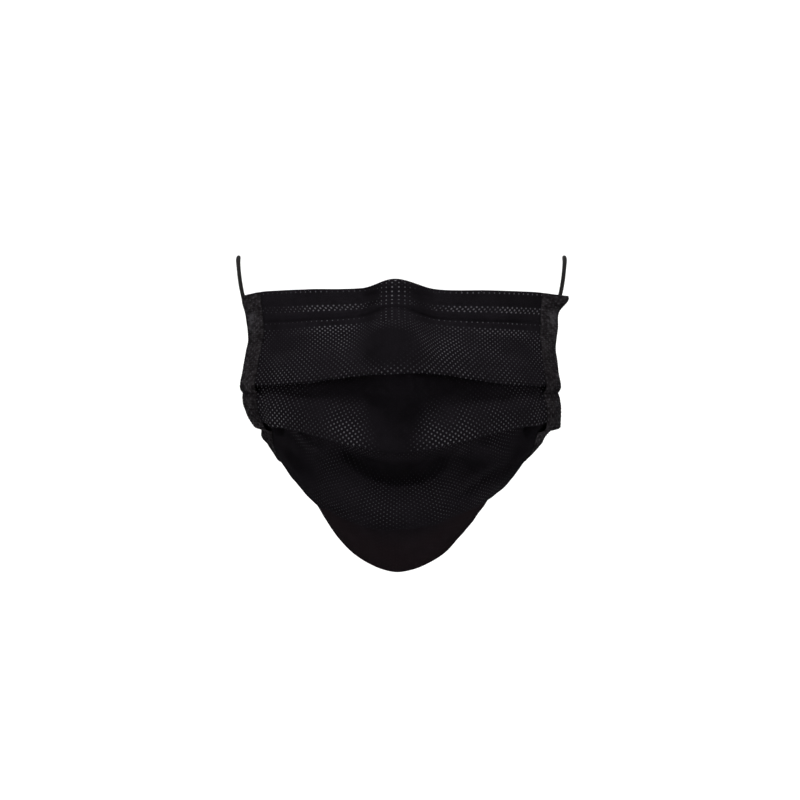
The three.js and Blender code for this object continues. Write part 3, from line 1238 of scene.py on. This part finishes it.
def set_cloth(made: bpy.types.Object, cloth: np.ndarray) -> None:
    """Writes the UV map.

    Args:
        made: the object.
        cloth: two coordinates for each point of its mesh.
    """
    uv = made.data.uv_layers.new(name=CLOTH_MAP)
    corners = np.zeros(len(made.data.loops), dtype=np.int32)
    made.data.loops.foreach_get("vertex_index", corners)
    uv.data.foreach_set("uv", cloth.reshape(-1, 2)[corners].astype(np.float32).ravel())


def set_number(made: bpy.types.Object, name: str, numbers: np.ndarray) -> None:
    """Writes one number for each point of the mesh as an attribute."""
    layer = made.data.attributes.new(name, "FLOAT", "POINT")
    layer.data.foreach_set("value", np.ravel(numbers).astype(np.float32))


def grid_faces(columns: int, rows: int, ring: bool = False) -> list[tuple[int, ...]]:
    """Four-cornered faces of a grid whose point (i, j) is number i * rows + j.

    Args:
        columns: how many columns.
        rows: points in a column.
        ring: whether the last point of each column joins its first.

    Returns:
        The faces.
    """
    faces = []
    for i in range(columns - 1):
        for j in range(rows if ring else rows - 1):
            k = (j + 1) % rows
            faces.append((i * rows + j, i * rows + k, (i + 1) * rows + k, (i + 1) * rows + j))
    return faces


def closed_tube(
    name: str, points: np.ndarray, inset: np.ndarray, run: np.ndarray, finish: bpy.types.Material
) -> bpy.types.Object:
    """Makes a long closed piece from rings of points.

    Args:
        name: the object's name.
        points: N rings of M points.
        inset: the first cloth coordinate of each point, N by M.
        run: the second cloth coordinate of each ring, N of them.
        finish: its material.

    Returns:
        The object, with its two end rings closed and its faces turned outwards.
    """
    rings, count = inset.shape
    last = (rings - 1) * count
    ends = [tuple(range(count)), tuple(last + i for i in reversed(range(count)))]
    made = new_object(name, points, grid_faces(rings, count, ring=True) + ends)
    shape = bmesh.new()
    shape.from_mesh(made.data)
    bmesh.ops.recalc_face_normals(shape, faces=shape.faces[:])
    shape.to_mesh(made.data)
    shape.free()
    set_cloth(made, np.stack([inset, np.broadcast_to(run[:, None], inset.shape)], axis=2))
    made.data.materials.append(finish)
    return made


# -------------------------------------------------------------------------------------------
# The pleated panel
# -------------------------------------------------------------------------------------------


@dataclass(frozen=True)
class Row:
    """One row of the cloth's middle line: a place down and a height for every column.

    Shown is how much of its panel's creases and dents the row has.
    """

    down: np.ndarray
    out: np.ndarray
    panel: Panel
    shown: float


@dataclass(frozen=True)
class TopHem:
    """The hem that is turned in along the top edge, with the pouch that holds the nose wire.

    Depths are metres down the cloth from the hem's fold. The wire's span is the share of the half
    width that it reaches, and the ends of the pouch and ridge are added to it. The ridge on the
    face lies lower than the wire's middle and slopes between two shares of its half width. Each
    weld has a depth, a half width and a strength.
    """

    depth: float = 14.6 * MM
    layers_gap: float = 0.10 * MM
    fold_drop: float = 0.8 * MM
    turned_rows: int = 24
    fold_rows: int = 5
    free_edge_from: float = 13.6 * MM
    free_edge_out: float = 0.25 * MM
    nipped_to: float = 4 * MM
    nipped_in: float = 0.15 * MM
    wire_span: float = 0.66
    wire_depths: Pair = (8.3 * MM, 12.7 * MM)
    pouch: float = 1.55 * MM
    pouch_side: float = 1.3 * MM
    pouch_end: float = 0.05
    ridge: float = 0.55 * MM
    ridge_lower: float = 1.8 * MM
    ridge_sides: Pair = (0.45, 0.95)
    ridge_ends: Pair = (-0.1, 0.25)
    welds: tuple[Triple, ...] = ((14.6 * MM, 0.5 * MM, 1.0), (7.2 * MM, 1.0 * MM, 0.7))
    weld_sink: float = 0.25 * MM

    @property
    def wire(self) -> Pair:
        """The depth of the wire's middle, and its half width."""
        low, high = self.wire_depths
        return (low + high) / 2, (high - low) / 2

    def rows(self, across: np.ndarray, down_size: np.ndarray) -> list[Row]:
        """The turned-in layer, from its free edge up to the top fold.

        Args:
            across: the columns' places across.
            down_size: metres of cloth in one row of the scale, for each column.

        Returns:
            Its rows.
        """
        wire = (1 - ease(self.wire_span, self.wire_span + self.pouch_end, np.abs(across)))[None, :]
        drops = np.linspace(self.depth, self.fold_drop, self.turned_rows)[:, None]
        middle, reach = self.wire
        pouch = 1 - ease(reach, reach + self.pouch_side, np.abs(drops - middle))
        free_edge = self.free_edge_out * ease(self.free_edge_from, self.depth, drops)
        out = -(CLOTH_WALL + self.layers_gap + free_edge + self.pouch * pouch * wire)
        out = out - self.nipped_in * (1 - ease(0.0, self.nipped_to, drops))
        lines = list(zip(drops[:, 0], out))
        for angle in np.linspace(0, math.pi, self.fold_rows + 2)[1:-1]:
            drop = self.fold_drop * (1 - math.sin(angle))
            lines.append((drop, out[-1] * (1 + math.cos(angle)) / 2))
        return [Row(drop / down_size, line, Panel.NOSE, 1.0) for drop, line in lines]

    def face_lift(self, across: np.ndarray, run: np.ndarray) -> np.ndarray:
        """How far the hem's face stands out over the wire and sinks at its welds.

        Args:
            across: places across.
            run: metres down the cloth, of the same shape.

        Returns:
            The heights, of the same shape.
        """
        inner, outer = (self.wire_span + end for end in self.ridge_ends)
        wire = 1 - ease(inner, outer, np.abs(across))
        middle, reach = self.wire
        inner, outer = (reach * side for side in self.ridge_sides)
        over = 1 - ease(inner, outer, np.abs(run - middle - self.ridge_lower))
        sunk = sum(share * bell(run, depth, width) for depth, width, share in self.welds)
        return self.ridge * over * wire - self.weld_sink * sunk


@dataclass
class PleatedPanel:
    """The cloth of the mask: one sheet with a turned top hem and three downward pleats.

    The first numbers say how finely the sheet is cut into columns and rows: each flap's face, its
    level edge, each fold, the shares of the way where the lap's inner rows lie, and the jaw. Marks
    grow over the first shares of a panel, from nothing under the fold above.

    The UV map starts each panel below the top one a whole `apart` further on, and takes the way
    along a row from the columns to both sides. The hem's face is measured with the size of one of
    its own rows. Over the nose bridge the hem's lattice is coarse and dips.
    """

    drape: Drape
    hem: TopHem = TopHem()
    columns: int = 169
    flap_rows: tuple[int, ...] = (64, 40, 40)
    level_rows: int = 5
    fold_rows: int = 6
    inner_shares: tuple[float, ...] = (0.25, 0.5, 0.75)
    jaw_rows: int = 30
    flap_shown: Pair = (0.05, 0.35)
    jaw_shown: Pair = (0.05, 0.3)
    apart: float = 80.0 * MM
    chin_closer: float = 1.3
    even_over: int = 16
    hem_size_row: float = 10.0
    bridge_mm: float = -0.5
    bridge_edge_mm: Pair = (5.5, 8.5)
    bridge_dip: float = 3.0 * MM
    bridge_dip_mm: float = 10.0
    bridge_dip_run: Pair = (15 * MM, 26 * MM)
    pressed_and_lit_range: Pair = (0.03, 2.3)

    def _flap(self, flap: Flap, across: np.ndarray, count: int) -> list[Row]:
        """The rows of one pleated panel, from its start round the two folds of its lap.

        Args:
            flap: the panel.
            across: the columns' places across.
            count: how many rows its face has.

        Returns:
            Its rows.
        """
        panel, edge, flat, height = flap.pleat.panel, flap.edge, flap.flat, flap.height
        bend = FOLD / self.drape.down_size(across, edge)
        rows = []
        for part in np.linspace(0, 1, count, endpoint=False):
            at = flap.start + (flat - flap.start) * part
            shown = 1.0 if panel is Panel.NOSE else float(ease(*self.flap_shown, part))
            out = height * ease(FLAP_START, 1.0, np.full_like(at, part))
            rows.append(Row(at, out, panel, shown))
        for part in np.linspace(0, 1, self.level_rows, endpoint=False):
            rows.append(Row(flat + (edge - bend - flat) * part, height, panel, 1.0))
        for angle in half_turn(self.fold_rows):
            out = height - FOLD + FOLD * math.sin(angle)
            rows.append(Row(edge - bend + bend * math.cos(angle), out, panel, 1.0))
        inner = flat + 2 * bend
        for part in self.inner_shares:
            out = height - 2 * FOLD + (4 * FOLD - height) * part
            rows.append(Row(edge - bend + (inner - edge + bend) * part, out, panel, 1 - part))
        for angle in half_turn(self.fold_rows):
            out = np.full_like(across, FOLD + FOLD * math.sin(angle))
            rows.append(Row(inner - bend * math.cos(angle), out, panel, 0.0))
        return rows

    def _jaw(self, start: np.ndarray) -> list[Row]:
        """The plain panel under the last fold, down to the bottom edge.

        Args:
            start: the place down where it starts, for each column.

        Returns:
            Its rows.
        """
        rows = []
        for part in np.linspace(0, 1, self.jaw_rows):
            down = start + (self.drape.last - start) * part
            shown = float(ease(*self.jaw_shown, part))
            rows.append(Row(down, np.zeros_like(start), Panel.JAW, shown))
        return rows

    def build(self) -> bpy.types.Object:
        """Models the panel and gives it its cloth coordinates, thickness and finishes.

        Returns:
            The panel.
        """
        across = np.linspace(-1, 1, self.columns)
        top_size = self.drape.down_size(across, np.zeros_like(across))
        rows = self.hem.rows(across, top_size)
        first = len(rows)
        for flap, count in zip(self.drape.flaps(across), self.flap_rows):
            rows += self._flap(flap, across, count)
        rows += self._jaw(rows[-1].down + FOLD_TO_PANEL)
        down = np.stack([row.down for row in rows], axis=1)
        out = np.stack([row.out for row in rows], axis=1)
        panel = np.broadcast_to([row.panel.value for row in rows], down.shape)
        shown = np.broadcast_to([row.shown for row in rows], down.shape)
        wide = np.broadcast_to(across[:, None], down.shape)
        size = self.drape.down_size(across, np.full_like(across, self.hem_size_row))[:, None]
        front = np.arange(len(rows)) >= first
        out = out + np.where(front, self.hem.face_lift(wide, down * size), 0.0)
        points = self.drape.place(wide, down, out, panel, shown)
        wide_mm = self.drape.wide(wide)
        cloth = self._cloth_places(self.drape.place(wide, down, out), panel[0], down, first)
        dip = self.bridge_dip * bell(wide_mm, self.bridge_mm, self.bridge_dip_mm)
        cloth[:, :, 1] -= dip * (1 - ease(*self.bridge_dip_run, cloth[:, :, 1]))
        made = new_object("pleated_panel", points, grid_faces(*down.shape))
        set_cloth(made, cloth)
        # Lattice map: uneven pressing, with painted shade under the flaps and on the underside and
        # painted highlights along the flap edges.
        pressed_and_lit = np.clip(1 + marked(PRESSED_AND_LIT, panel, wide_mm, down), *self.pressed_and_lit_range)
        set_number(made, "pressed_and_lit", pressed_and_lit)
        bridge = 1 - ease(*self.bridge_edge_mm, np.abs(wide_mm - self.bridge_mm))
        set_number(made, "bridge", bridge)
        for finish in (OuterCloth(), InnerCloth()):
            made.data.materials.append(finish.make())
        self._thicken(made)
        return made

    def _thicken(self, made: bpy.types.Object) -> None:
        """Gives the sheet its wall, with the inner finish behind and on the rim.

        Args:
            made: the sheet.
        """
        solid = made.modifiers.new("wall", "SOLIDIFY")
        solid.thickness = CLOTH_WALL
        solid.offset = 0.0
        solid.use_even_offset = False
        solid.material_offset = 1
        solid.material_offset_rim = 1
        bpy.ops.object.select_all(action="DESELECT")
        made.select_set(True)
        bpy.context.view_layer.objects.active = made
        bpy.ops.object.modifier_apply(modifier=solid.name)

    def _cloth_places(
        self, points: np.ndarray, panel: np.ndarray, down: np.ndarray, first: int
    ) -> np.ndarray:
        """Where each point lies on the cloth: along its row, and down the panel.

        The top panel is measured from the hem's fold, and each panel below from its own fold, so
        that the lattice runs along the folds and stands square to them. On the chin the lattice
        lies closer down the cloth.

        Args:
            points: the cloth's middle surface, columns by rows.
            panel: the number of the panel that each row is on.
            down: the rows' places down, columns by rows.
            first: the row of the hem's fold.

        Returns:
            Metres along and down the cloth, columns by rows by two.
        """
        sideways = np.linalg.norm(np.diff(points, axis=0, prepend=points[:1]), axis=2)
        along = np.cumsum(sideways, axis=0)
        along -= along[self.columns // 2]
        steps = np.diff(points, axis=1, prepend=points[:, :1])
        run = np.cumsum(np.linalg.norm(steps, axis=2), axis=1)
        run -= run[:, first : first + 1]
        column = np.arange(self.columns)
        left, right = (
            points[np.clip(column + way, 0, self.columns - 1)]
            for way in (-self.even_over, self.even_over)
        )
        row_way = right - left
        row_way /= np.linalg.norm(row_way, axis=2)[:, :, None]
        slide = np.cumsum(np.einsum("ijk,ijk->ij", steps, row_way), axis=1)
        for number, below in enumerate((Panel.MOUTH, Panel.CHIN, Panel.JAW), start=1):
            on = np.flatnonzero(panel == below.value)
            tip = on[np.argmax(down[:, on].mean(axis=0))]
            closer = self.chin_closer if below is Panel.CHIN else 1.0
            run[:, on] = number * self.apart + (run[:, on] - run[:, tip : tip + 1]) * closer
            along[:, on] = along[:, tip : tip + 1] + slide[:, on] - slide[:, tip : tip + 1]
        return np.stack([along, run], axis=2)


# -------------------------------------------------------------------------------------------
# The side bindings
# -------------------------------------------------------------------------------------------


@dataclass
class SideBinding:
    """A ribbed strip folded round one side edge of the panel.

    The front leg is cut into rows at shares of its width, and from one of them on it thins towards
    its edge. The ribs are lower round the lip, behind and at the front leg's edge, from where they
    grow quickly to their full height.
    """

    drape: Drape
    side: Side
    wall: float = 0.5 * MM
    front: float = 9.0 * MM
    back: float = 7.5 * MM
    gap: float = 0.18 * MM
    thinned: float = 0.32 * MM
    thins_from: float = 0.78
    rib_height: float = 0.16 * MM
    lip_ribs: float = 0.6
    back_ribs: float = 0.5
    edge_ribs: float = 0.3
    ribs_grow: float = 4.0
    stations: int = 640
    samples: int = 400
    front_shares: tuple[float, ...] = (1.0, 0.96, 0.88, 0.78, 0.6, 0.4, 0.2, 0.0)
    leg_points: int = 5
    inner_back_points: int = 4
    lip_points: int = 7
    inner_lip_points: int = 5

    @property
    def back_out(self) -> float:
        """Where its inner face lies, measured off the guide surface."""
        return -CLOTH_WALL / 2 - self.gap - self.wall

    def _ring(self, down: np.ndarray, run: np.ndarray) -> tuple[np.ndarray, np.ndarray]:
        """The strip's closed outline at each station.

        It goes from the edge of the front leg round the lip to the edge of the back leg, and back
        along the inner faces.

        Args:
            down: the stations' places down.
            run: metres along the side edge to each station.

        Returns:
            How far each point lies in from the side edge, and how far off the guide surface, both
            in metres and stations by points.
        """
        edge = np.full_like(down, float(self.side.value))
        front_in = self.drape.stack(edge, down) + CLOTH_WALL / 2 + self.gap
        back_in = np.full_like(down, -CLOTH_WALL / 2 - self.gap)
        front_out, back_out = front_in + self.wall, back_in - self.wall
        middle, reach = (front_out + back_out) / 2, (front_out - back_out) / 2
        inner_reach = (front_in - back_in) / 2
        lip = self.gap + self.wall
        ribs = self.rib_height * (0.5 + 0.5 * np.cos(math.tau * run / RIB))
        ring: list[tuple[np.ndarray | float, np.ndarray]] = []
        for part in self.front_shares:
            face = front_out - self.thinned * float(ease(self.thins_from, 1.0, part))
            shown = min(1, self.ribs_grow * (1 - part) + self.edge_ribs)
            ring.append((self.front * part, face + ribs * shown))
        for angle in half_turn(self.lip_points)[1:-1]:
            inset = -lip * math.cos(angle) - ribs * self.lip_ribs
            ring.append((inset, middle + reach * math.sin(angle)))
        for part in np.linspace(0, 1, self.leg_points):
            ring.append((self.back * part, back_out - ribs * self.back_ribs))
        for part in np.linspace(1, 0, self.inner_back_points):
            ring.append((self.back * part, back_in))
        for angle in half_turn(self.inner_lip_points)[::-1][1:-1]:
            ring.append((-self.gap * math.cos(angle), middle + inner_reach * math.sin(angle)))
        for part in np.linspace(0, 1, self.leg_points):
            ring.append((self.front * part, front_in))
        insets, outs = zip(*ring)
        inset = np.stack([np.broadcast_to(row, down.shape) for row in insets], axis=1)
        return inset, np.stack(outs, axis=1)

    def build(self, finish: bpy.types.Material) -> bpy.types.Object:
        """Models the strip.

        Args:
            finish: its material.

        Returns:
            The strip.
        """
        sign = float(self.side.value)
        scale = np.linspace(0.0, self.drape.last, self.samples)
        line = self.drape.place(np.full_like(scale, sign), scale, np.zeros_like(scale))
        length = lengths(line)
        run = np.linspace(0.0, length[-1], self.stations)
        down = np.interp(run, length, scale)
        inset, out = self._ring(down, run)
        half = self.drape.across_size(np.full_like(down, sign), down)
        rows = np.broadcast_to(down[:, None], inset.shape)
        points = self.drape.place(sign * (1 - inset / half[:, None]), rows, out)
        return closed_tube(f"side_binding_{self.side.name.lower()}", points, inset, run, finish)


# -------------------------------------------------------------------------------------------
# The ear loops
# -------------------------------------------------------------------------------------------

# The right elastic's middle line in millimetres, from its weld at the top corner over the ear to
# its weld at the bottom corner.
ELASTIC_ROUTE = (
    (60.9, 45.6, -21.4), (62.4, 47.9, -18.6), (64.3, 50.6, -15.2), (67, 53.8, -10),
    (69.2, 57.4, -4.5), (70.6, 62.8, 1.5), (71.5, 69.5, 7), (72.2, 77, 11.3),
    (72.2, 84.5, 12.8), (72.6, 91.5, 10), (72.2, 97, 3.5), (70.7, 100.5, -5.5),
    (67.9, 101.5, -16.5), (65.8, 100.5, -27.5), (64.3, 97.5, -38), (62.6, 93, -47),
    (60.2, 87.6, -55), (57.2, 81.8, -61.6), (53.8, 75.9, -66.8), (50.4, 70, -71),
    (47.6, 64.5, -73.6), (46.2, 58.8, -73.8), (46.4, 54.4, -73.3), (46.9, 50.4, -72.3),
)


@dataclass
class EarLoop:
    """One loop of round elastic, flattened and welded behind the binding at both ends.

    The weld's run-out gives, in weld lengths from each end, where the flattening starts to fade
    and where the elastic is round. The welds lie at one place across, each at its row. The knit
    swells the elastic a little once in each of its lengths. The binding's inner face is sampled
    between its margins, in rows, and from an inset on.
    """

    drape: Drape
    side: Side
    binding: SideBinding
    diameter: float = 1.8 * MM
    steps: int = 420
    route_finer: int = 4
    around: int = 14
    weld: float = 4.0 * MM
    weld_runout: Pair = (0.6, 2.4)
    weld_across: float = 0.96
    weld_rows: Pair = (18.0, 108.0)
    pressed_thin: float = 0.45
    pressed_wide: float = 1.45
    sunk: float = 0.12 * MM
    knit_swell: float = 0.03
    knit_length: float = 1.8 * MM
    face_samples: tuple[int, int] = (90, 9)
    face_margin: float = 8.0
    face_inset: float = 1.0 * MM
    path_every: int = 6

    def _flatness(self, run: np.ndarray) -> np.ndarray:
        """1 in the welds, 0 where the elastic is round."""
        start, end = (share * self.weld for share in self.weld_runout)
        return 1 - ease(start, end, np.minimum(run, run[-1] - run))

    def _inward(self, across: np.ndarray, down: np.ndarray, out: float) -> np.ndarray:
        """Places off the guide surface, and the way towards the face from each.

        Args:
            across: N places across.
            down: N places down.
            out: how far off the surface they lie.

        Returns:
            N places and N unit directions, as two arrays in one.
        """
        face, behind = (
            self.drape.place(across, down, np.full_like(down, depth)) for depth in (out, out - MM)
        )
        return np.stack([face, (behind - face) / MM])

    def _on_binding(self, points: np.ndarray, depth: np.ndarray) -> np.ndarray:
        """Moves points along the binding's own normal to a depth behind its inner face.

        Args:
            points: N points.
            depth: N depths.

        Returns:
            The N moved points.
        """
        rows, insets = self.face_samples
        down = np.linspace(self.face_margin, self.drape.last - self.face_margin, rows)
        inset = np.linspace(self.face_inset, self.binding.back, insets)
        down, inset = (a.ravel() for a in np.meshgrid(down, inset, indexing="ij"))
        across = self.side.value * (1 - inset / self.drape.cloth_half)
        face, way = self._inward(across, down, self.binding.back_out)
        nearest = np.array([np.argmin(np.linalg.norm(face - p, axis=1)) for p in points])
        gap = np.einsum("ij,ij->i", points - face[nearest], way[nearest])
        return points + way[nearest] * (depth - gap)[:, None]

    def path(self) -> tuple[np.ndarray, np.ndarray]:
        """The middle line of the elastic.

        Returns:
            Its points, evenly stepped, and the length along the route to each.
        """
        knots = np.array(ELASTIC_ROUTE) * (self.side.value, 1, 1) * MM
        places = lengths(knots)
        samples = np.linspace(0, places[-1], self.route_finer * self.steps)
        fine = curve_through(places, knots, samples)
        run = lengths(fine)
        even = np.linspace(0, run[-1], self.steps)
        line = np.stack([np.interp(even, run, fine[:, axis]) for axis in range(3)], axis=1)
        flat = self._flatness(even)
        thin = self.diameter / 2 * (1 - (1 - self.pressed_thin) * flat)
        near = flat > 0
        laid = line.copy()
        laid[near] = self._on_binding(line[near], thin[near] - self.sunk)
        return line + (laid - line) * flat[:, None], even

    def build(self, finish: bpy.types.Material) -> bpy.types.Object:
        """Models the elastic.

        Args:
            finish: its material.

        Returns:
            The loop.
        """
        path, run = self.path()
        ahead = np.gradient(path, axis=0)
        ahead /= np.linalg.norm(ahead, axis=1)[:, None]
        across = np.full(2, self.side.value * self.weld_across)
        top, bottom = self._inward(across, np.array(self.weld_rows), 0.0)[1]
        share = ease(0.0, run[-1], run)[:, None]
        sideways = np.cross(ahead, top * (1 - share) + bottom * share)
        sideways /= np.linalg.norm(sideways, axis=1)[:, None]
        out = np.cross(sideways, ahead)
        flat = self._flatness(run)
        swell = self.knit_swell * np.sin(math.tau * run / self.knit_length) * (1 - flat)
        radius = self.diameter / 2 * (1 + swell)
        wide = (radius * (1 + (self.pressed_wide - 1) * flat))[:, None] * sideways
        thin = (radius * (1 - (1 - self.pressed_thin) * flat))[:, None] * out
        turns = np.arange(self.around) / self.around
        angles = math.tau * turns
        rings = [path + math.cos(a) * wide + math.sin(a) * thin for a in angles]
        turn = np.broadcast_to(turns, (self.steps, self.around))
        name = f"ear_elastic_{self.side.name.lower()}"
        return closed_tube(name, np.stack(rings, axis=1), turn, run, finish)

    def declare(self) -> None:
        """Works out the loop's middle line and a thinned list of its points, and uses neither.
        """
        path, run = self.path()
        followed = [tuple(point) for point in path[:: self.path_every]] + [tuple(path[-1])]


# -------------------------------------------------------------------------------------------
# Studio
# -------------------------------------------------------------------------------------------


@dataclass(frozen=True)
class Softbox:
    """One soft light."""

    name: str
    place: Triple
    size: float
    watts: float
    aim: Triple = (0.0, 0.0, -0.06)

    def build(self) -> None:
        """Makes the light and turns it to its aim."""
        lamp = bpy.data.lights.new(self.name, "AREA")
        lamp.shape = "SQUARE"
        lamp.size = self.size
        lamp.energy = self.watts
        made = bpy.data.objects.new(self.name, lamp)
        way = Vector(self.aim) - Vector(self.place)
        made.location = self.place
        made.rotation_euler = way.to_track_quat("-Z", "Y").to_euler()
        bpy.context.scene.collection.objects.link(made)


@dataclass
class Studio:
    """Camera, lights, pale floor and the sweep behind it."""

    distance: float = 1.5
    eye: Pair = (-0.63 * MM, -50.4 * MM)
    view_width: float = 0.336
    sensor: float = 36.0
    farthest: float = 50.0
    air: float = 0.29
    floor: float = -0.30
    room: float = 3.2
    bend: float = 1.2
    wall: float = 2.0
    sides: int = 96
    bend_steps: int = 16
    softboxes: tuple[Softbox, ...] = (
        Softbox("key", (-0.22, -0.64, 1.74), 0.42, 38.0),
        Softbox("fill", (1.3, -1.5, 0.5), 1.2, 3.5),
        Softbox("back", (-0.8, 1.5, 1.1), 1.1, 7.0),
        Softbox("sweep_wash", (0.0, 1.1, 2.1), 1.8, 52.0, (0.0, 3.0, 0.3)),
    )

    def camera(self) -> None:
        """Makes the camera, level and straight ahead of the mask."""
        lens = bpy.data.cameras.new("camera")
        lens.sensor_width = self.sensor
        lens.lens = self.sensor * self.distance / self.view_width
        lens.clip_end = self.farthest
        made = bpy.data.objects.new("camera", lens)
        made.location = (self.eye[0], -self.distance, self.eye[1])
        made.rotation_euler = (math.pi / 2, 0.0, 0.0)
        bpy.context.scene.collection.objects.link(made)
        bpy.context.scene.camera = made

    def sweep(self) -> None:
        """Models the floor as a round dish whose rim curves up into a wall all round."""
        bpy.ops.object.select_all(action="DESELECT")
        flat = self.room - self.bend
        bpy.ops.mesh.primitive_circle_add(
            vertices=self.sides, radius=flat, fill_type="NGON", location=(0.0, 0.0, self.floor)
        )
        made = bpy.context.active_object
        made.name = "studio_sweep"
        bpy.ops.object.mode_set(mode="EDIT")
        bpy.ops.mesh.select_mode(type="EDGE")
        bpy.ops.mesh.select_all(action="SELECT")
        bpy.ops.mesh.region_to_loop()
        for number in range(1, self.bend_steps + 1):
            before, after = (math.pi / 2 * n / self.bend_steps for n in (number - 1, number))
            rise = self.bend * (math.cos(before) - math.cos(after))
            wider = (flat + self.bend * math.sin(after)) / (flat + self.bend * math.sin(before))
            bpy.ops.mesh.extrude_edges_move(TRANSFORM_OT_translate={"value": (0.0, 0.0, rise)})
            bpy.ops.transform.resize(value=(wider, wider, 1.0), center_override=(0.0, 0.0, 0.0))
        bpy.ops.mesh.extrude_edges_move(TRANSFORM_OT_translate={"value": (0.0, 0.0, self.wall)})
        bpy.ops.mesh.select_all(action="SELECT")
        bpy.ops.mesh.normals_make_consistent(inside=True)
        bpy.ops.object.mode_set(mode="OBJECT")
        bpy.ops.object.transform_apply(location=True, rotation=True, scale=True)
        bpy.ops.object.shade_smooth()
        made.data.materials.append(Paper().make())

    def build(self) -> None:
        """Makes all of the studio."""
        self.camera()
        self.sweep()
        for softbox in self.softboxes:
            softbox.build()
        scene = bpy.context.scene
        scene.view_settings.view_transform = "Standard"
        world = bpy.data.worlds.new("studio_air")
        world.use_nodes = True
        air = world.node_tree.nodes["Background"]
        air.inputs["Color"].default_value = (1.0, 1.0, 1.0, 1.0)
        air.inputs["Strength"].default_value = self.air
        scene.world = world


def attach(piece: bpy.types.Object, node: str) -> None:
    """Puts a finished piece in its node's place on the body, and reports it.

    Args:
        piece: the finished piece.
        node: the CAD node that it stands for.
    """
    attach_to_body(piece, BODY)
    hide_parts(node)
    LOG.info("%s: %d faces", piece.name, len(piece.data.polygons))


def main() -> None:
    """Builds the mask around the frame."""
    logging.basicConfig(level=logging.INFO, format="%(name)s: %(message)s")
    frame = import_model()
    Studio().build()
    drape = Drape()

    knit, ribbed = Elastic().make(), BindingCloth().make()
    for side in Side:
        name = side.name.lower()
        binding = SideBinding(drape, side)
        loop = EarLoop(drape, side, binding)
        elastic = loop.build(knit)
        attach(elastic, f"ear_loop_{name}")
        loop.declare()
        strip = binding.build(ribbed)
        attach(strip, f"side_band_{name}")

    panel = PleatedPanel(drape).build()
    attach(panel, "mask_body")

    wire = frame["nodes"]["nose_wire"]
    wire.data.materials.clear()
    wire.data.materials.append(WireCover().make())
    LOG.info("%s keeps its own shape", wire.name)


if __name__ == "__main__":
    main()
